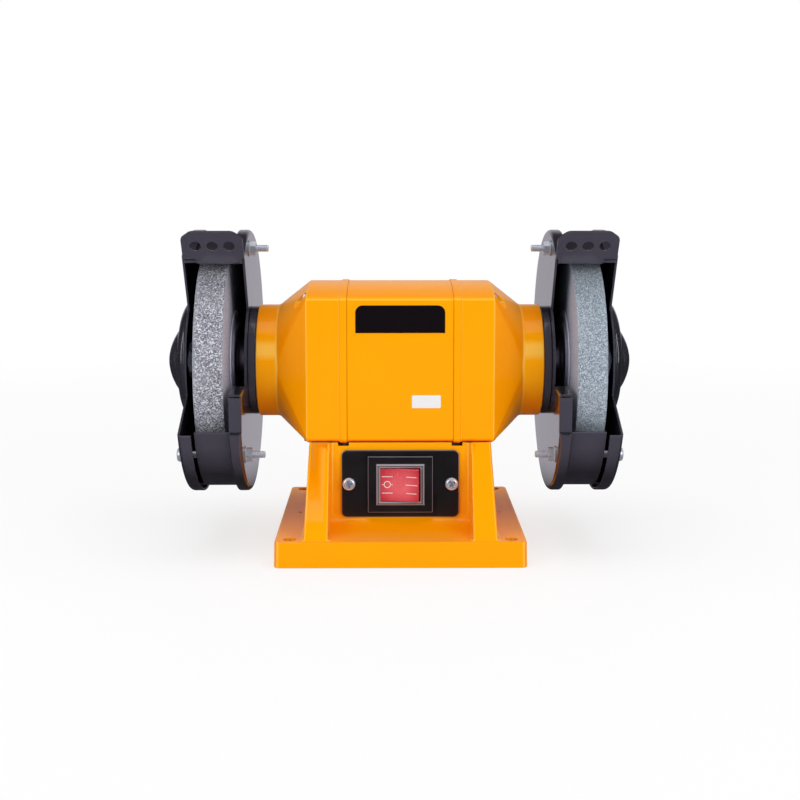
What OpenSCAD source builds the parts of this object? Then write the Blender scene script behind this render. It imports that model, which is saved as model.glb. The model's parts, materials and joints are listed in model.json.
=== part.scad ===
// Double-ended bench grinder with two 125 mm wheels.
// Millimetres. +Z is up, +X runs along the shaft, and -Y faces the user.
// The origin is on the bench, under the middle of the shaft.

/* [Base] */
// Height of the motor body's underside above the bench
seat_h = 56.6; // [50:0.2:70]
// Width of the base casting
base_w = 132; // [126:1:160]
// Reach of the base in front of the shaft axis
base_front = 74.5; // [66:0.5:80]
// Reach of the base behind the shaft axis
base_back = 63; // [58:0.5:80]
// Height of the base skirt
base_h = 14; // [11:0.5:16]
// Corner radius of the base in plan
base_corner_r = 6; // [3:0.5:10]
// Wall of the base casting
casting_t = 4; // [3:0.5:5]
// Radius of each bench bolt hole
bench_hole_r = 3.5; // [2.5:0.25:4]
// Distance of the bench holes from the side edges
bench_hole_side = 7; // [6:0.5:9]
// Distance of the bench holes from the front and back edges
bench_hole_end = 6.5; // [6:0.5:9]
// Radius of the solid corner around each bench hole
bench_boss_r = 7; // [6:0.5:8]
// Ledge of the base on each side of the pedestal
base_ledge = 14.3; // [13:0.1:24]
// Side draft of the pedestal from its top to its foot
pedestal_draft = 2.2; // [0:0.2:4]
// Step of the pedestal's front and back faces beyond the motor body
panel_step = 1; // [0.5:0.5:3]
// Width of each front column
column_w = 11; // [8:0.5:13]
// Radius of the fillet between the front panel and the base floor
panel_fillet_r = 6.5; // [4:0.5:7]
// Gap between the motor body and its cradle
saddle_gap = 0.6; // [0.3:0.1:1.5]
// Radius of the four pads that carry the motor body
saddle_pad_r = 7; // [5:0.5:8]
// Height of the pads below the motor body
saddle_pad_h = 6; // [5:0.5:7]

/* [Bottom cover] */
// Thickness of the bottom cover sheet
cover_sheet_t = 1; // [0.8:0.1:1.5]
// Recess of the bottom cover above the bench
cover_recess = 2; // [1.5:0.25:3]
// Play of the bottom cover inside the skirt
cover_play = 0.5; // [0.2:0.1:1]
// Radius of the bottom cover's screw posts
cover_post_r = 4; // [3.5:0.5:5]
// Place of the bottom cover's screws along the depth
cover_screw_y = -5.5; // [-20:0.5:20]

/* [Motor body] */
// Length of the stator shell between the end bells
shell_len = 57.6; // [52:0.4:70]
// Front to back width of the motor body
body_w = 90; // [88:1:94]
// Height of the motor body over its arches
body_h = 90.8; // [90:0.2:96]
// Rise of the top and bottom arches
arch_rise = 6.1; // [4:0.1:7]
// Radius of the four long edges of the body
edge_r = 2.5; // [1:0.25:4]
// Thinnest wall of the stator shell
shell_wall = 3; // [2.5:0.25:5]
// Width of the collar on each end bell
collar_w = 4.4; // [3:0.2:8]
// Height of the collar above the body's surface
collar_rise = 0.6; // [0.3:0.1:1]
// Length of the straight part of an end bell
bell_len = 22.2; // [20:0.2:30]
// Length of the tapered part of an end bell
taper_len = 17.2; // [15:0.2:24]
// Diameter of the round neck
neck_d = 63.6; // [58:0.2:70]
// Length of the round neck
neck_len = 10.8; // [8:0.2:16]
// Diameter of the pad that carries a wheel guard
pad_d = 54; // [50:1:56]
// Length of the pad beyond the neck
pad_len = 5.3; // [2:0.1:8]
// Wall between the end bell's cavity and the taper
bell_wall = 4; // [3.5:0.5:5]

/* [Through bolts] */
// Diameter of the through bolts
tie_d = 4; // [3:0.5:4]
// Radius of a pocket for a bolt head
tie_pocket_r = 4.25; // [4.25:0.25:4.75]
// Distance of the through bolts from the body's outer faces
tie_inset = 8.5; // [8:0.25:9]
// Height of a through bolt's head and nut
tie_head_h = 2.8; // [2:0.2:3]

/* [Shaft and bearings] */
// Diameter of the shaft under the rotor
shaft_d = 18; // [16:0.5:20]
// Bore of each ball bearing
bearing_id = 15; // [14:0.5:15]
// Outer diameter of each ball bearing
bearing_od = 35; // [32:1:36]
// Width of each ball bearing
bearing_w = 11; // [9:0.5:12]
// Thickness of the wave washer behind the left bearing
wave_t = 0.8; // [0.5:0.1:1]
// Wall behind each bearing seat
seat_wall = 1.2; // [1:0.1:2]
// Diameter of the arbor that carries a wheel
arbor_d = 12.7; // [12:0.1:13.5]
// Length of thread that stands out of an arbor nut
arbor_out = 2.6; // [1:0.2:4]

/* [Motor] */
// Room between the stator stack and each end of the shell
stack_room = 8.8; // [8.8:0.2:12]
// Diameter of the rotor
rotor_d = 45; // [40:1:48]
// Air gap between rotor and stator
air_gap = 0.5; // [0.4:0.1:1]
// Number of stator slots
slot_count = 24; // [12:2:28]
// Depth of each stator slot
slot_depth = 9; // [7:0.5:10]
// Width of each stator slot
slot_w = 3.2; // [2.4:0.2:3.6]
// Thickness of the stator's tooth tips
tooth_tip = 2; // [1.5:0.1:3]
// Length of the winding heads beyond the stack
coil_out = 7; // [5:0.5:8]
// Thickness of the rotor's end rings
end_ring_t = 6; // [4:0.5:8]
// Diameter of each motor lead
lead_d = 2.4; // [2:0.1:3]

/* [Wheels] */
// Diameter of a grinding wheel
wheel_d = 125; // [115:1:126]
// Width of a grinding wheel
wheel_w = 16; // [13:1:20]
// Diameter of the paper blotters
blotter_d = 54; // [54:1:76]
// Thickness of a paper blotter
blotter_t = 0.6; // [0.4:0.1:1]
// Diameter of the clamping flanges
flange_d = 51; // [46:1:53]
// Thickness of a clamping flange
flange_t = 2.4; // [2:0.2:4.4]
// Depth of the recess in a clamping flange
flange_recess = 1; // [0.5:0.1:1.5]
// Length of the inner flange's hub
flange_hub_len = 3.2; // [2:0.2:5]
// Width across the flats of an arbor nut
nut_flats = 19; // [17:1:20]
// Height of an arbor nut
nut_h = 7; // [6:0.5:8]

/* [Wheel guards] */
// Gap between a wheel and the outside of its guard
rim_gap = 12; // [11:0.25:15]
// Thickness of the guard sheet
sheet_t = 1.2; // [1:0.1:1.4]
// Drop from the guard's rim to its band
band_drop = 3; // [2.6:0.1:3.2]
// Width of the inner guard's rim
inner_rim_w = 6.7; // [5:0.1:8]
// Width of the outer cover's rim
outer_rim_w = 7.4; // [6:0.1:8]
// Gap between the band and the outer cover's rim
band_gap = 2.2; // [1:0.1:3]
// Angle above the front level at which the opening ends
open_top = 57.5; // [52:0.5:64]
// Angle below the front level at which the band starts
open_low = 26; // [20:1:32]
// Angle below the front level at which the inner guard starts
inner_low = 13; // [8:1:18]
// Radius at which the guard opening ends inwards
open_r = 36; // [34.5:0.5:40]
// Distance of the inner guard's front edge behind its rim
front_inset = 9.5; // [8:0.5:11]
// Length of the shield bracket beyond the band
bracket_len = 20; // [16:0.5:22]
// Width of the shield bracket
bracket_w = 33; // [31:0.5:34]
// Radius of each hole in the shield bracket
bracket_hole_r = 3; // [2:0.1:3.2]
// Spacing of the holes in the shield bracket
bracket_pitch = 9; // [8:0.25:10]
// Distance of the cover bolts from the guard's rim
cover_bolt_inset = 8.3; // [7.9:0.1:8.6]
// Angles of the cover bolts above the front level
cover_bolt_angles = [77, -44, 196];
// Diameter of the cover bolts
cover_bolt_d = 4; // [3.5:0.1:4.2]
// Clearance between the guard and what turns in it
guard_clear = 2.5; // [2.3:0.1:4]
// Clearance between the outer flange and the cover
cover_clear = 3.9; // [2:0.1:5]

/* [Outer cover dome] */
// Radius of the stepped boss at its foot
boss_r = 32.5; // [30:0.5:34]
// Height of the stepped boss
boss_h = 5.9; // [4:0.1:7]
// Radius of the domed cap
cap_r = 17; // [15:0.5:20]
// Clearance between the shaft's end and the cap
cap_clear = 8; // [5:0.1:10]

/* [Switch] */
// Gap between the switch plate and each front column
plate_side_gap = 6.5; // [4:0.5:8]
// Gap between the switch plate and the pedestal's top
plate_top_gap = 4; // [3:0.5:6]
// Thickness of the switch plate
plate_t = 1.5; // [1:0.1:2]
// Distance of each plate screw from the plate's side
plate_screw_inset = 4; // [3.6:0.2:5]
// Width of the switch bezel
bezel_w = 35.4; // [32:0.2:40]
// Height of the switch bezel
bezel_h = 31; // [28:0.5:33]
// Thickness of the switch bezel
bezel_t = 2.2; // [1.5:0.1:3]
// Width of the clear frame
frame_w = 26.4; // [25:0.2:28]
// Height of the clear frame
frame_h = 23; // [22:0.2:25]
// Thickness of the clear frame
frame_t = 1.2; // [0.8:0.1:2]
// Swing radius of the rocker's ends
rocker_r = 10.9; // [10:0.1:11]
// Height of the rocker
rocker_h = 18.3; // [16:0.1:19]
// Full throw of the rocker
rocker_throw = 18; // [12:1:22]
// Radius of the rocker's pins
rocker_pin_r = 1.2; // [1:0.1:1.5]
// Depth of the switch housing behind the plate
housing_depth = 20; // [18:1:22]

/* [Electrical parts] */
// Diameter of the capacitor
capacitor_d = 28; // [24:1:29]
// Gap between the capacitor's pins and the pedestal's side wall
capacitor_gap = 11.8; // [4:0.2:20]
// Depth of the capacitor's axis below the motor body
capacitor_drop = 28.6; // [26:0.2:32]
// Bore of the cord grommet
grommet_bore_r = 3.75; // [3:0.25:4]
// Height of the cord grommet above the bench
grommet_z = 26; // [24:1:30]
// Distance of the cord grommet from the pedestal's side
grommet_inset = 17.5; // [15:0.5:20]

/* [Fits] */
// Radial gap of a seated or running round fit
fit_gap = 0.03; // [0.01:0.01:0.05]
// Play of a bolt in its hole
bolt_play = 0.2; // [0.1:0.05:0.4]
// Play of the switch parts in their cut-outs
switch_play = 0.3; // [0.2:0.05:0.5]

/* [Hidden] */
$fn = 96;
far = 200;
tiny = 0.02;

axis_h = seat_h + body_h / 2;

// Places along the shaft, from the middle outwards
shell_half = shell_len / 2;
bell_end = shell_half + bell_len;
taper_end = bell_end + taper_len;
neck_end = taper_end + neck_len;
guard_x = neck_end + pad_len;
stack_len = shell_len - 2 * stack_room;
bearing_x = taper_end - seat_wall - bearing_w;
shoulder_gap = 0.3;
hub_x = guard_x + sheet_t + guard_clear;
flange_x = hub_x + flange_hub_len;
wheel_x = flange_x + flange_t + blotter_t;
outer_blotter_x = wheel_x + wheel_w;
outer_flange_x = outer_blotter_x + blotter_t;
nut_x = outer_flange_x + flange_t;
shaft_end = nut_x + nut_h + arbor_out;
cover_x = nut_x + cover_clear + sheet_t;
cap_x = shaft_end + cap_clear + sheet_t;
outer_rim_x = cover_x - outer_rim_w;
band_x = outer_rim_x - band_gap;
tie_floor_x = bell_end - 1;

// Radii around the shaft
neck_r = neck_d / 2;
pad_r = pad_d / 2;
bore_r = min(body_w, body_h) / 2 - shell_wall;
rotor_r = rotor_d / 2;
stator_in_r = rotor_r + air_gap;
slot_r = stator_in_r + tooth_tip;
wheel_bore_r = arbor_d / 2 + fit_gap;
flange_hub_r = bearing_id / 2 + 3.5;
guard_r = wheel_d / 2 + rim_gap;
band_r = guard_r - band_drop;
cover_bolt_circle = guard_r - cover_bolt_inset;
front_edge = guard_r - front_inset;
guard_hole_r = flange_hub_r + 1;
guard_screw_circle = 20.5;
guard_screw_r = 2.5;
guard_screw_head_r = 4.2;
guard_screw_head_h = 2;
guard_screw_len = 9;
cover_bolt_head_r = 3.9;
cover_bolt_head_h = 2.8;
cover_bolt_tail = 11;
cover_nut_h = 3.2;
washer_t = 0.8;
washer_r = 4.5;
guard_screw_angles = [90, 210, 330];

// Section of the motor body: a rectangle with arched top and bottom
arch_r = (pow(body_w / 2, 2) + pow(arch_rise, 2)) / (2 * arch_rise);
arch_z = body_h / 2 - arch_r;
corner_steps = 4;
arch_steps = 10;
tie_y = body_w / 2 - tie_inset;
tie_z = body_h / 2 - tie_inset;

// Base and pedestal
base_half = base_w / 2;
pedestal_front = body_w / 2 + panel_step;
pedestal_top_z = seat_h + arch_rise - saddle_gap;
pedestal_foot_half = base_half - base_ledge;
pedestal_top_half = pedestal_foot_half - pedestal_draft;
column_x = pedestal_top_half - column_w;
column_foot = base_front - 1;
bench_hole_x = base_half - bench_hole_side;
bench_hole_front = base_front - bench_hole_end;
bench_hole_back = base_back - bench_hole_end;
bench_holes = [for (x = [-1, 1], y = [-bench_hole_front, bench_hole_back]) [x * bench_hole_x, y]];
cover_screw_x = (pedestal_foot_half + base_half - casting_t) / 2;
cover_screws = [for (x = [-1, 1]) [x * cover_screw_x, cover_screw_y]];
cover_screw_r = 1.5;
cover_screw_len = 8;
small_head_r = 2.8;
small_head_h = 1.6;
cover_z = cover_recess + cover_sheet_t;
motor_screw_r = 2.5;
motor_screw_head_r = 4.6;
motor_screw_head_h = 3;
motor_screw_x = 20.5;
motor_screw_y = 22;
motor_screw_bite = 6;
motor_screws_at = [for (x = [-1, 1], y = [-1, 1]) [x * motor_screw_x, y * motor_screw_y]];
lead_x = stack_len / 2 + 4;
lead_spread = 2.2;
lead_hole_r = lead_spread + lead_d / 2 + 0.8;
lead_drop = 10.6;
inner_wall_y = pedestal_front - casting_t;

// Switch
plate_w = 2 * (column_x - plate_side_gap);
plate_low = base_h + panel_fillet_r + 0.6;
plate_h = pedestal_top_z - plate_top_gap - plate_low;
switch_z = plate_low + plate_h / 2;
plate_screw_x = plate_w / 2 - plate_screw_inset;
plate_y = -pedestal_front - plate_t;
bezel_y = plate_y - bezel_t;
frame_y = bezel_y - frame_t;
rocker_pivot_y = bezel_y + 1.6;
mouth_w = 2 * (rocker_r + switch_play);
mouth_h = rocker_h + 2 * switch_play;
housing_w = mouth_w + 3.6;
housing_h = mouth_h + 4.4;
pin_bite = 1.5;
plate_screw_r = 1.75;
plate_screw_head_r = 3.4;
plate_screw_head_h = 2.2;
plate_screw_out = 3;
rocker_rise = 1.4;
rocker_dish = 1.2;
rocker_tail = 7;
terminal_len = 8;
plate_corner_r = 3;

// Electrical parts
strap_t = 1;
strap_r = capacitor_d / 2 + strap_t;
capacitor_y = inner_wall_y - strap_r;
capacitor_z = seat_h - capacitor_drop;
strap_w = 14;
strap_screw_z = capacitor_z + strap_r + 5;
grommet_r = grommet_bore_r + 2.5;
grommet_flange_r = grommet_r + 2.5;
grommet_x = pedestal_top_half - grommet_inset;
pin_len = 6;
capacitor_end = grommet_x - grommet_flange_r - 1;
capacitor_start = casting_t + capacitor_gap + pin_len - pedestal_top_half;
capacitor_len = capacitor_end - capacitor_start;
strap_x = (capacitor_end + capacitor_start) / 2;

// Outline of the body section, grown outwards by g
function fillet_y(g) = body_w / 2 - edge_r;
function fillet_z(g) = arch_z + sqrt(pow(arch_r - edge_r, 2) - pow(fillet_y(g), 2));
function fillet_angle() = atan2(fillet_z(0) - arch_z, fillet_y(0));
function corner_pts(g) = [
    for (i = [0:corner_steps])
        let (a = fillet_angle() * i / corner_steps)
        [fillet_y(g) + (edge_r + g) * cos(a), fillet_z(g) + (edge_r + g) * sin(a)]
];
function arch_pts(g) = [
    for (i = [1:arch_steps - 1])
        let (a = fillet_angle() + (180 - 2 * fillet_angle()) * i / arch_steps)
        [(arch_r + g) * cos(a), arch_z + (arch_r + g) * sin(a)]
];
function backwards(list) = [for (i = [len(list) - 1:-1:0]) list[i]];
function top_pts(g) = concat(
    corner_pts(g), arch_pts(g), backwards([for (p = corner_pts(g)) [-p[0], p[1]]])
);
function body_pts(g) = concat(top_pts(g), backwards([for (p = top_pts(g)) [p[0], -p[1]]]));

// Direction in the Y-Z plane at angle a above the front level
function ray(a) = [-cos(a), sin(a)];

// Places a Y-Z outline at x and extrudes it along X
module yz_extrude(x, length) {
    translate([x, 0, axis_h]) rotate([90, 0, 90]) linear_extrude(length) children();
}

// Motor body section from x, grown by g
module body_prism(x, length, g = 0) {
    yz_extrude(x, length) polygon(body_pts(g));
}

// Cylinder around the shaft axis from x0 to x1
module x_cylinder(r, x0, x1) {
    translate([x0, 0, axis_h]) rotate([0, 90, 0]) cylinder(r = r, h = x1 - x0);
}

// Cylinder along X whose axis is at offset p = [y, z] from the shaft
module x_rod(p, r, x0, x1) {
    translate([0, p[0], p[1]]) x_cylinder(r, x0, x1);
}

// Turned shape around the shaft axis: points are [x, radius]
module x_turned(points) {
    translate([0, 0, axis_h]) rotate([0, 90, 0])
        rotate_extrude() polygon([for (p = points) [p[1], p[0]]]);
}

// Wedge around the axis between two angles, from r_in outwards
module wedge(x0, x1, a0, a1, r_in) {
    steps = ceil((a1 - a0) / 30);
    difference() {
        yz_extrude(x0, x1 - x0)
            polygon(concat([[0, 0]], [for (i = [0:steps]) far * ray(a0 + (a1 - a0) * i / steps)]));
        x_cylinder(r_in, x0 - 1, x1 + 1);
    }
}

// Hexagon nut along X, from x0 to x1, with the given bore
module x_nut(p, flats, r_bore, x0, x1) {
    difference() {
        translate([x0, p[0], axis_h + p[1]]) rotate([0, 90, 0])
            cylinder(r = flats / sqrt(3), h = x1 - x0, $fn = 6);
        x_rod(p, r_bore, x0 - 1, x1 + 1);
    }
}

// Y-directed rod at [x, z] from y0 to y1
module y_rod(x, z, r, y0, y1) {
    translate([x, y1, z]) rotate([90, 0, 0]) cylinder(r = r, h = y1 - y0);
}

// Box with its X and Z middles at x and z, from y0 to y1
module y_box(x, z, w, h, y0, y1) {
    translate([x - w / 2, y0, z - h / 2]) cube([w, y1 - y0, h]);
}

// Rounded plate in the X-Z plane
module y_plate(z, w, h, r, y0, y1) {
    y_box(0, z, w - 2 * r, h, y0, y1);
    y_box(0, z, w, h - 2 * r, y0, y1);
    for (x = [-1, 1], k = [-1, 1])
        y_rod(x * (w / 2 - r), z + k * (h / 2 - r), r, y0, y1);
}

// Rounded slab in plan, inset on all sides, from z0 to z1
module slab(inset, z0, z1) {
    half = base_half - inset;
    front = base_front - inset;
    back = base_back - inset;
    r = max(base_corner_r - inset, 1);
    translate([-half, -front + r, z0]) cube([2 * half, front + back - 2 * r, z1 - z0]);
    translate([-half + r, -front, z0]) cube([2 * half - 2 * r, front + back, z1 - z0]);
    for (x = [-half + r, half - r], y = [-front + r, back - r])
        translate([x, y, z0]) cylinder(r = r, h = z1 - z0);
}

// Upright trapezoid of the pedestal between y0 and y1, inset by t
module pedestal_block(t, z0, y0, y1) {
    foot = pedestal_foot_half - t;
    top = pedestal_top_half - t;
    translate([0, y1, 0]) rotate([90, 0, 0]) linear_extrude(y1 - y0)
        polygon([[-foot, z0], [foot, z0], [top, pedestal_top_z], [-top, pedestal_top_z]]);
}

// Columns that slope from the body's front down to the base's front edge
module front_columns() {
    intersection() {
        pedestal_block(0, base_h - 1, -base_front, 0);
        for (side = [-1, 1])
            translate([side > 0 ? column_x : -far, 0, 0]) rotate([90, 0, 90])
                linear_extrude(far - column_x)
                    polygon([
                        [-pedestal_front + 1, base_h - 1], [-column_foot, base_h - 1],
                        [-column_foot, base_h], [-pedestal_front, pedestal_top_z],
                        [-pedestal_front + 1, pedestal_top_z]
                    ]);
    }
}

// Concave sweep between the front panel and the base floor
module panel_sweep() {
    difference() {
        translate([-column_x, -pedestal_front - panel_fillet_r, base_h - 1])
            cube([2 * column_x, panel_fillet_r + 1, panel_fillet_r + 1]);
        translate([-column_x - 1, -pedestal_front - panel_fillet_r, base_h + panel_fillet_r])
            rotate([0, 90, 0]) cylinder(r = panel_fillet_r, h = 2 * column_x + 2);
    }
}

module base_casting() {
    color([1, 0.62, 0.02])
    difference() {
        union() {
            difference() {
                union() {
                    slab(0, 0, base_h);
                    pedestal_block(0, base_h - 1, -pedestal_front, pedestal_front);
                    front_columns();
                    panel_sweep();
                }
                body_prism(-far / 2, far, saddle_gap);
                for (side = [-1, 1])
                    body_prism(side * (shell_half + collar_w / 2) - collar_w / 2 - 0.8,
                        collar_w + 1.6, collar_rise + 3 * saddle_gap);
                slab(casting_t, -1, base_h - casting_t);
                difference() {
                    pedestal_block(casting_t, base_h - casting_t - 1, -inner_wall_y, inner_wall_y);
                    body_prism(-far / 2, far, saddle_gap + casting_t);
                }
            }
            difference() {
                for (p = motor_screws_at)
                    translate([p[0], p[1], seat_h - saddle_pad_h])
                        cylinder(r = saddle_pad_r, h = 2 * saddle_pad_h);
                body_prism(-far / 2, far);
            }
            for (p = bench_holes) translate([p[0], p[1], 0]) intersection() {
                cylinder(r = bench_boss_r, h = base_h - 1);
                translate([-bench_hole_side, -bench_hole_end, 0])
                    cube([2 * bench_hole_side, 2 * bench_hole_end, base_h]);
            }
            for (p = cover_screws) translate([p[0], p[1], cover_z])
                cylinder(r = cover_post_r, h = base_h - cover_z - 1);
        }
        for (p = bench_holes) translate([p[0], p[1], -1])
            cylinder(r = bench_hole_r, h = base_h + 2);
        for (p = cover_screws) translate([p[0], p[1], cover_z - 1])
            cylinder(r = cover_screw_r, h = base_h);
        for (p = motor_screws_at) translate([p[0], p[1], seat_h - 2 * saddle_pad_h])
            cylinder(r = motor_screw_r + bolt_play, h = 3 * saddle_pad_h);
        translate([lead_x, 0, seat_h - 2 * casting_t]) cylinder(r = lead_hole_r, h = 3 * casting_t);
        y_box(0, switch_z, housing_w + 2 * switch_play, housing_h + 2 * switch_play,
            -pedestal_front - 1, -inner_wall_y + 1);
        for (side = [-1, 1])
            y_rod(side * plate_screw_x, switch_z, plate_screw_r, -pedestal_front - 1,
                -inner_wall_y + 1);
        y_rod(strap_x, strap_screw_z, cover_screw_r, inner_wall_y - 1, pedestal_front - 1);
        y_rod(grommet_x, grommet_z, grommet_r + fit_gap, inner_wall_y - 1, pedestal_front + 1);
    }
}

module bottom_cover() {
    color([0.35, 0.35, 0.37])
    difference() {
        slab(casting_t + cover_play, cover_recess, cover_z);
        for (p = bench_holes) translate([p[0], p[1], 0])
            cylinder(r = bench_boss_r + cover_play, h = base_h);
        for (p = cover_screws) translate([p[0], p[1], 0])
            cylinder(r = cover_screw_r + bolt_play, h = base_h);
    }
}

module bottom_cover_screws() {
    color([0.75, 0.75, 0.78])
    for (p = cover_screws) translate([p[0], p[1], 0]) {
        translate([0, 0, cover_recess - small_head_h])
            cylinder(r = small_head_r, h = small_head_h);
        translate([0, 0, cover_recess]) cylinder(r = cover_screw_r - fit_gap, h = cover_screw_len);
    }
}

// Screws that hold the motor body down, driven from inside the base
module motor_screws() {
    color([0.75, 0.75, 0.78])
    for (p = motor_screws_at) translate([p[0], p[1], seat_h - saddle_pad_h]) {
        translate([0, 0, -motor_screw_head_h])
            cylinder(r = motor_screw_head_r, h = motor_screw_head_h);
        cylinder(r = motor_screw_r - fit_gap, h = saddle_pad_h + motor_screw_bite);
    }
}

module cord_grommet() {
    color([0.07, 0.07, 0.08])
    difference() {
        union() {
            y_rod(grommet_x, grommet_z, grommet_r, inner_wall_y, pedestal_front);
            y_rod(grommet_x, grommet_z, grommet_flange_r, pedestal_front, pedestal_front + 3);
            y_rod(grommet_x, grommet_z, grommet_flange_r, inner_wall_y - 2, inner_wall_y);
        }
        y_rod(grommet_x, grommet_z, grommet_bore_r, inner_wall_y - 3, pedestal_front + 4);
    }
}

module switch_plate() {
    color([0.06, 0.06, 0.07])
    difference() {
        y_plate(switch_z, plate_w, plate_h, plate_corner_r, plate_y, -pedestal_front);
        y_box(0, switch_z, housing_w + 2 * switch_play, housing_h + 2 * switch_play,
            plate_y - 1, -pedestal_front + 1);
        for (side = [-1, 1])
            y_rod(side * plate_screw_x, switch_z, plate_screw_r + bolt_play, plate_y - 1,
                -pedestal_front + 1);
    }
}

module switch_plate_screws() {
    color([0.78, 0.78, 0.8])
    for (side = [-1, 1]) {
        y_rod(side * plate_screw_x, switch_z, plate_screw_head_r,
            plate_y - plate_screw_head_h, plate_y);
        y_rod(side * plate_screw_x, switch_z, plate_screw_r - fit_gap, plate_y,
            -inner_wall_y + plate_screw_out);
    }
}

module switch_housing() {
    color([0.05, 0.05, 0.06])
    difference() {
        union() {
            y_box(0, switch_z, bezel_w, bezel_h, bezel_y, plate_y);
            y_box(0, switch_z, housing_w, housing_h, plate_y, plate_y + housing_depth);
        }
        y_box(0, switch_z, mouth_w, mouth_h, bezel_y - 1, rocker_pivot_y + rocker_r + 1);
        translate([0, rocker_pivot_y, switch_z - mouth_h / 2 - pin_bite])
            cylinder(r = rocker_pin_r + fit_gap, h = mouth_h + 2 * pin_bite);
    }
}

module switch_frame() {
    color([0.6, 0.6, 0.62, 0.6])
    difference() {
        y_box(0, switch_z, frame_w, frame_h, frame_y, bezel_y);
        y_box(0, switch_z, mouth_w, mouth_h, frame_y - 1, bezel_y + 1);
    }
}

module switch_terminals() {
    color([0.8, 0.65, 0.3])
    for (x = [-6, 6], z = [-5, 5])
        y_box(x, switch_z + z, 6.3, 0.8, plate_y + housing_depth,
            plate_y + housing_depth + terminal_len);
}

// Rocker at rest, tipped towards its off side, turning about an upright axis
module rocker() {
    crown = rocker_pivot_y - frame_y + rocker_rise;
    axle_len = mouth_h + 2 * (pin_bite - switch_play);
    heel = rocker_pin_r;
    color([0.85, 0.12, 0.15])
    translate([0, rocker_pivot_y, switch_z]) rotate([0, 0, -rocker_throw / 2])
    union() {
        intersection() {
            translate([0, 0, -rocker_h / 2]) cylinder(r = rocker_r, h = rocker_h);
            translate([0, 0, -rocker_h / 2]) linear_extrude(rocker_h)
                polygon([
                    [-rocker_r, -crown], [0, rocker_dish - crown], [rocker_r, -crown],
                    [rocker_r, heel], [3 * heel, rocker_tail], [-3 * heel, rocker_tail],
                    [-rocker_r, heel]
                ]);
        }
        translate([0, 0, -axle_len / 2]) cylinder(r = rocker_pin_r, h = axle_len);
    }
}

module capacitor() {
    color([0.85, 0.85, 0.83])
    translate([capacitor_end, capacitor_y, capacitor_z]) rotate([0, -90, 0]) {
        cylinder(r = capacitor_d / 2, h = capacitor_len);
        for (y = [-5, 5]) translate([0, y, capacitor_len]) cylinder(r = 1.2, h = pin_len);
    }
}

module capacitor_strap() {
    color([0.6, 0.6, 0.62])
    difference() {
        union() {
            translate([strap_x - strap_w / 2, capacitor_y, capacitor_z]) rotate([0, 90, 0])
                cylinder(r = strap_r, h = strap_w);
            translate([strap_x - strap_w / 2, inner_wall_y - strap_t, capacitor_z])
                cube([strap_w, strap_t, strap_screw_z + 4 - capacitor_z]);
        }
        translate([strap_x - strap_w / 2 - 1, capacitor_y, capacitor_z]) rotate([0, 90, 0])
            cylinder(r = capacitor_d / 2 + fit_gap, h = strap_w + 2);
        y_rod(strap_x, strap_screw_z, cover_screw_r + bolt_play, inner_wall_y - 3,
            inner_wall_y + 1);
    }
}

module strap_screw() {
    color([0.75, 0.75, 0.78]) {
        y_rod(strap_x, strap_screw_z, small_head_r, inner_wall_y - strap_t - small_head_h,
            inner_wall_y - strap_t);
        y_rod(strap_x, strap_screw_z, cover_screw_r - fit_gap, inner_wall_y - strap_t,
            inner_wall_y + casting_t - 1.5);
    }
}

// Two leads from the winding head down through the cradle
module motor_leads() {
    lead_top = axis_h - bore_r + 4;
    lead_low = seat_h - lead_drop;
    color([0.75, 0.08, 0.06])
    for (x = [lead_x - lead_spread, lead_x + lead_spread]) {
        translate([x, 0, lead_low]) cylinder(d = lead_d, h = lead_top - lead_low);
        translate([x, 0, lead_low]) sphere(d = lead_d);
        y_rod(x, lead_low, lead_d / 2, -16, 0);
    }
}

module stator_shell() {
    color([1, 0.62, 0.02])
    difference() {
        body_prism(-shell_half, shell_len);
        x_cylinder(bore_r, -far / 2, far / 2);
        for (y = [-1, 1], z = [-1, 1])
            x_rod([y * tie_y, z * tie_z], tie_d / 2 + bolt_play, -far / 2, far / 2);
        for (p = motor_screws_at) translate([p[0], p[1], seat_h - 1])
            cylinder(r = motor_screw_r, h = motor_screw_bite + 2);
        translate([lead_x, 0, seat_h - 1])
            cylinder(r = lead_hole_r - 0.3, h = body_h / 2 - bore_r + 4);
    }
}

// One slot bar around the stator, shrunk by gap
module slot_bar(i, gap, x0, x1) {
    translate([0, 0, axis_h]) rotate([i * 360 / slot_count, 0, 0])
        translate([x0, -slot_w / 2 + gap, slot_r + gap])
            cube([x1 - x0, slot_w - 2 * gap, slot_depth - 2 * gap]);
}

module stator_core() {
    half = stack_len / 2;
    color([0.45, 0.45, 0.48])
    difference() {
        x_cylinder(bore_r - fit_gap, -half, half);
        x_cylinder(stator_in_r, -half - 1, half + 1);
        for (i = [0:slot_count - 1]) slot_bar(i, 0, -half - 1, half + 1);
    }
}

module stator_windings() {
    half = stack_len / 2;
    inner = slot_r + 0.4;
    outer = slot_r + slot_depth - 0.4;
    color([0.72, 0.38, 0.18])
    union() {
        for (i = [0:slot_count - 1]) slot_bar(i, 0.3, -half - 1, half + 1);
        for (side = [-1, 1])
            x_turned([
                [side * (half + 0.2), inner], [side * (half + coil_out), inner + 1],
                [side * (half + coil_out), outer - 1], [side * (half + 0.2), outer]
            ]);
    }
}

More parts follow.
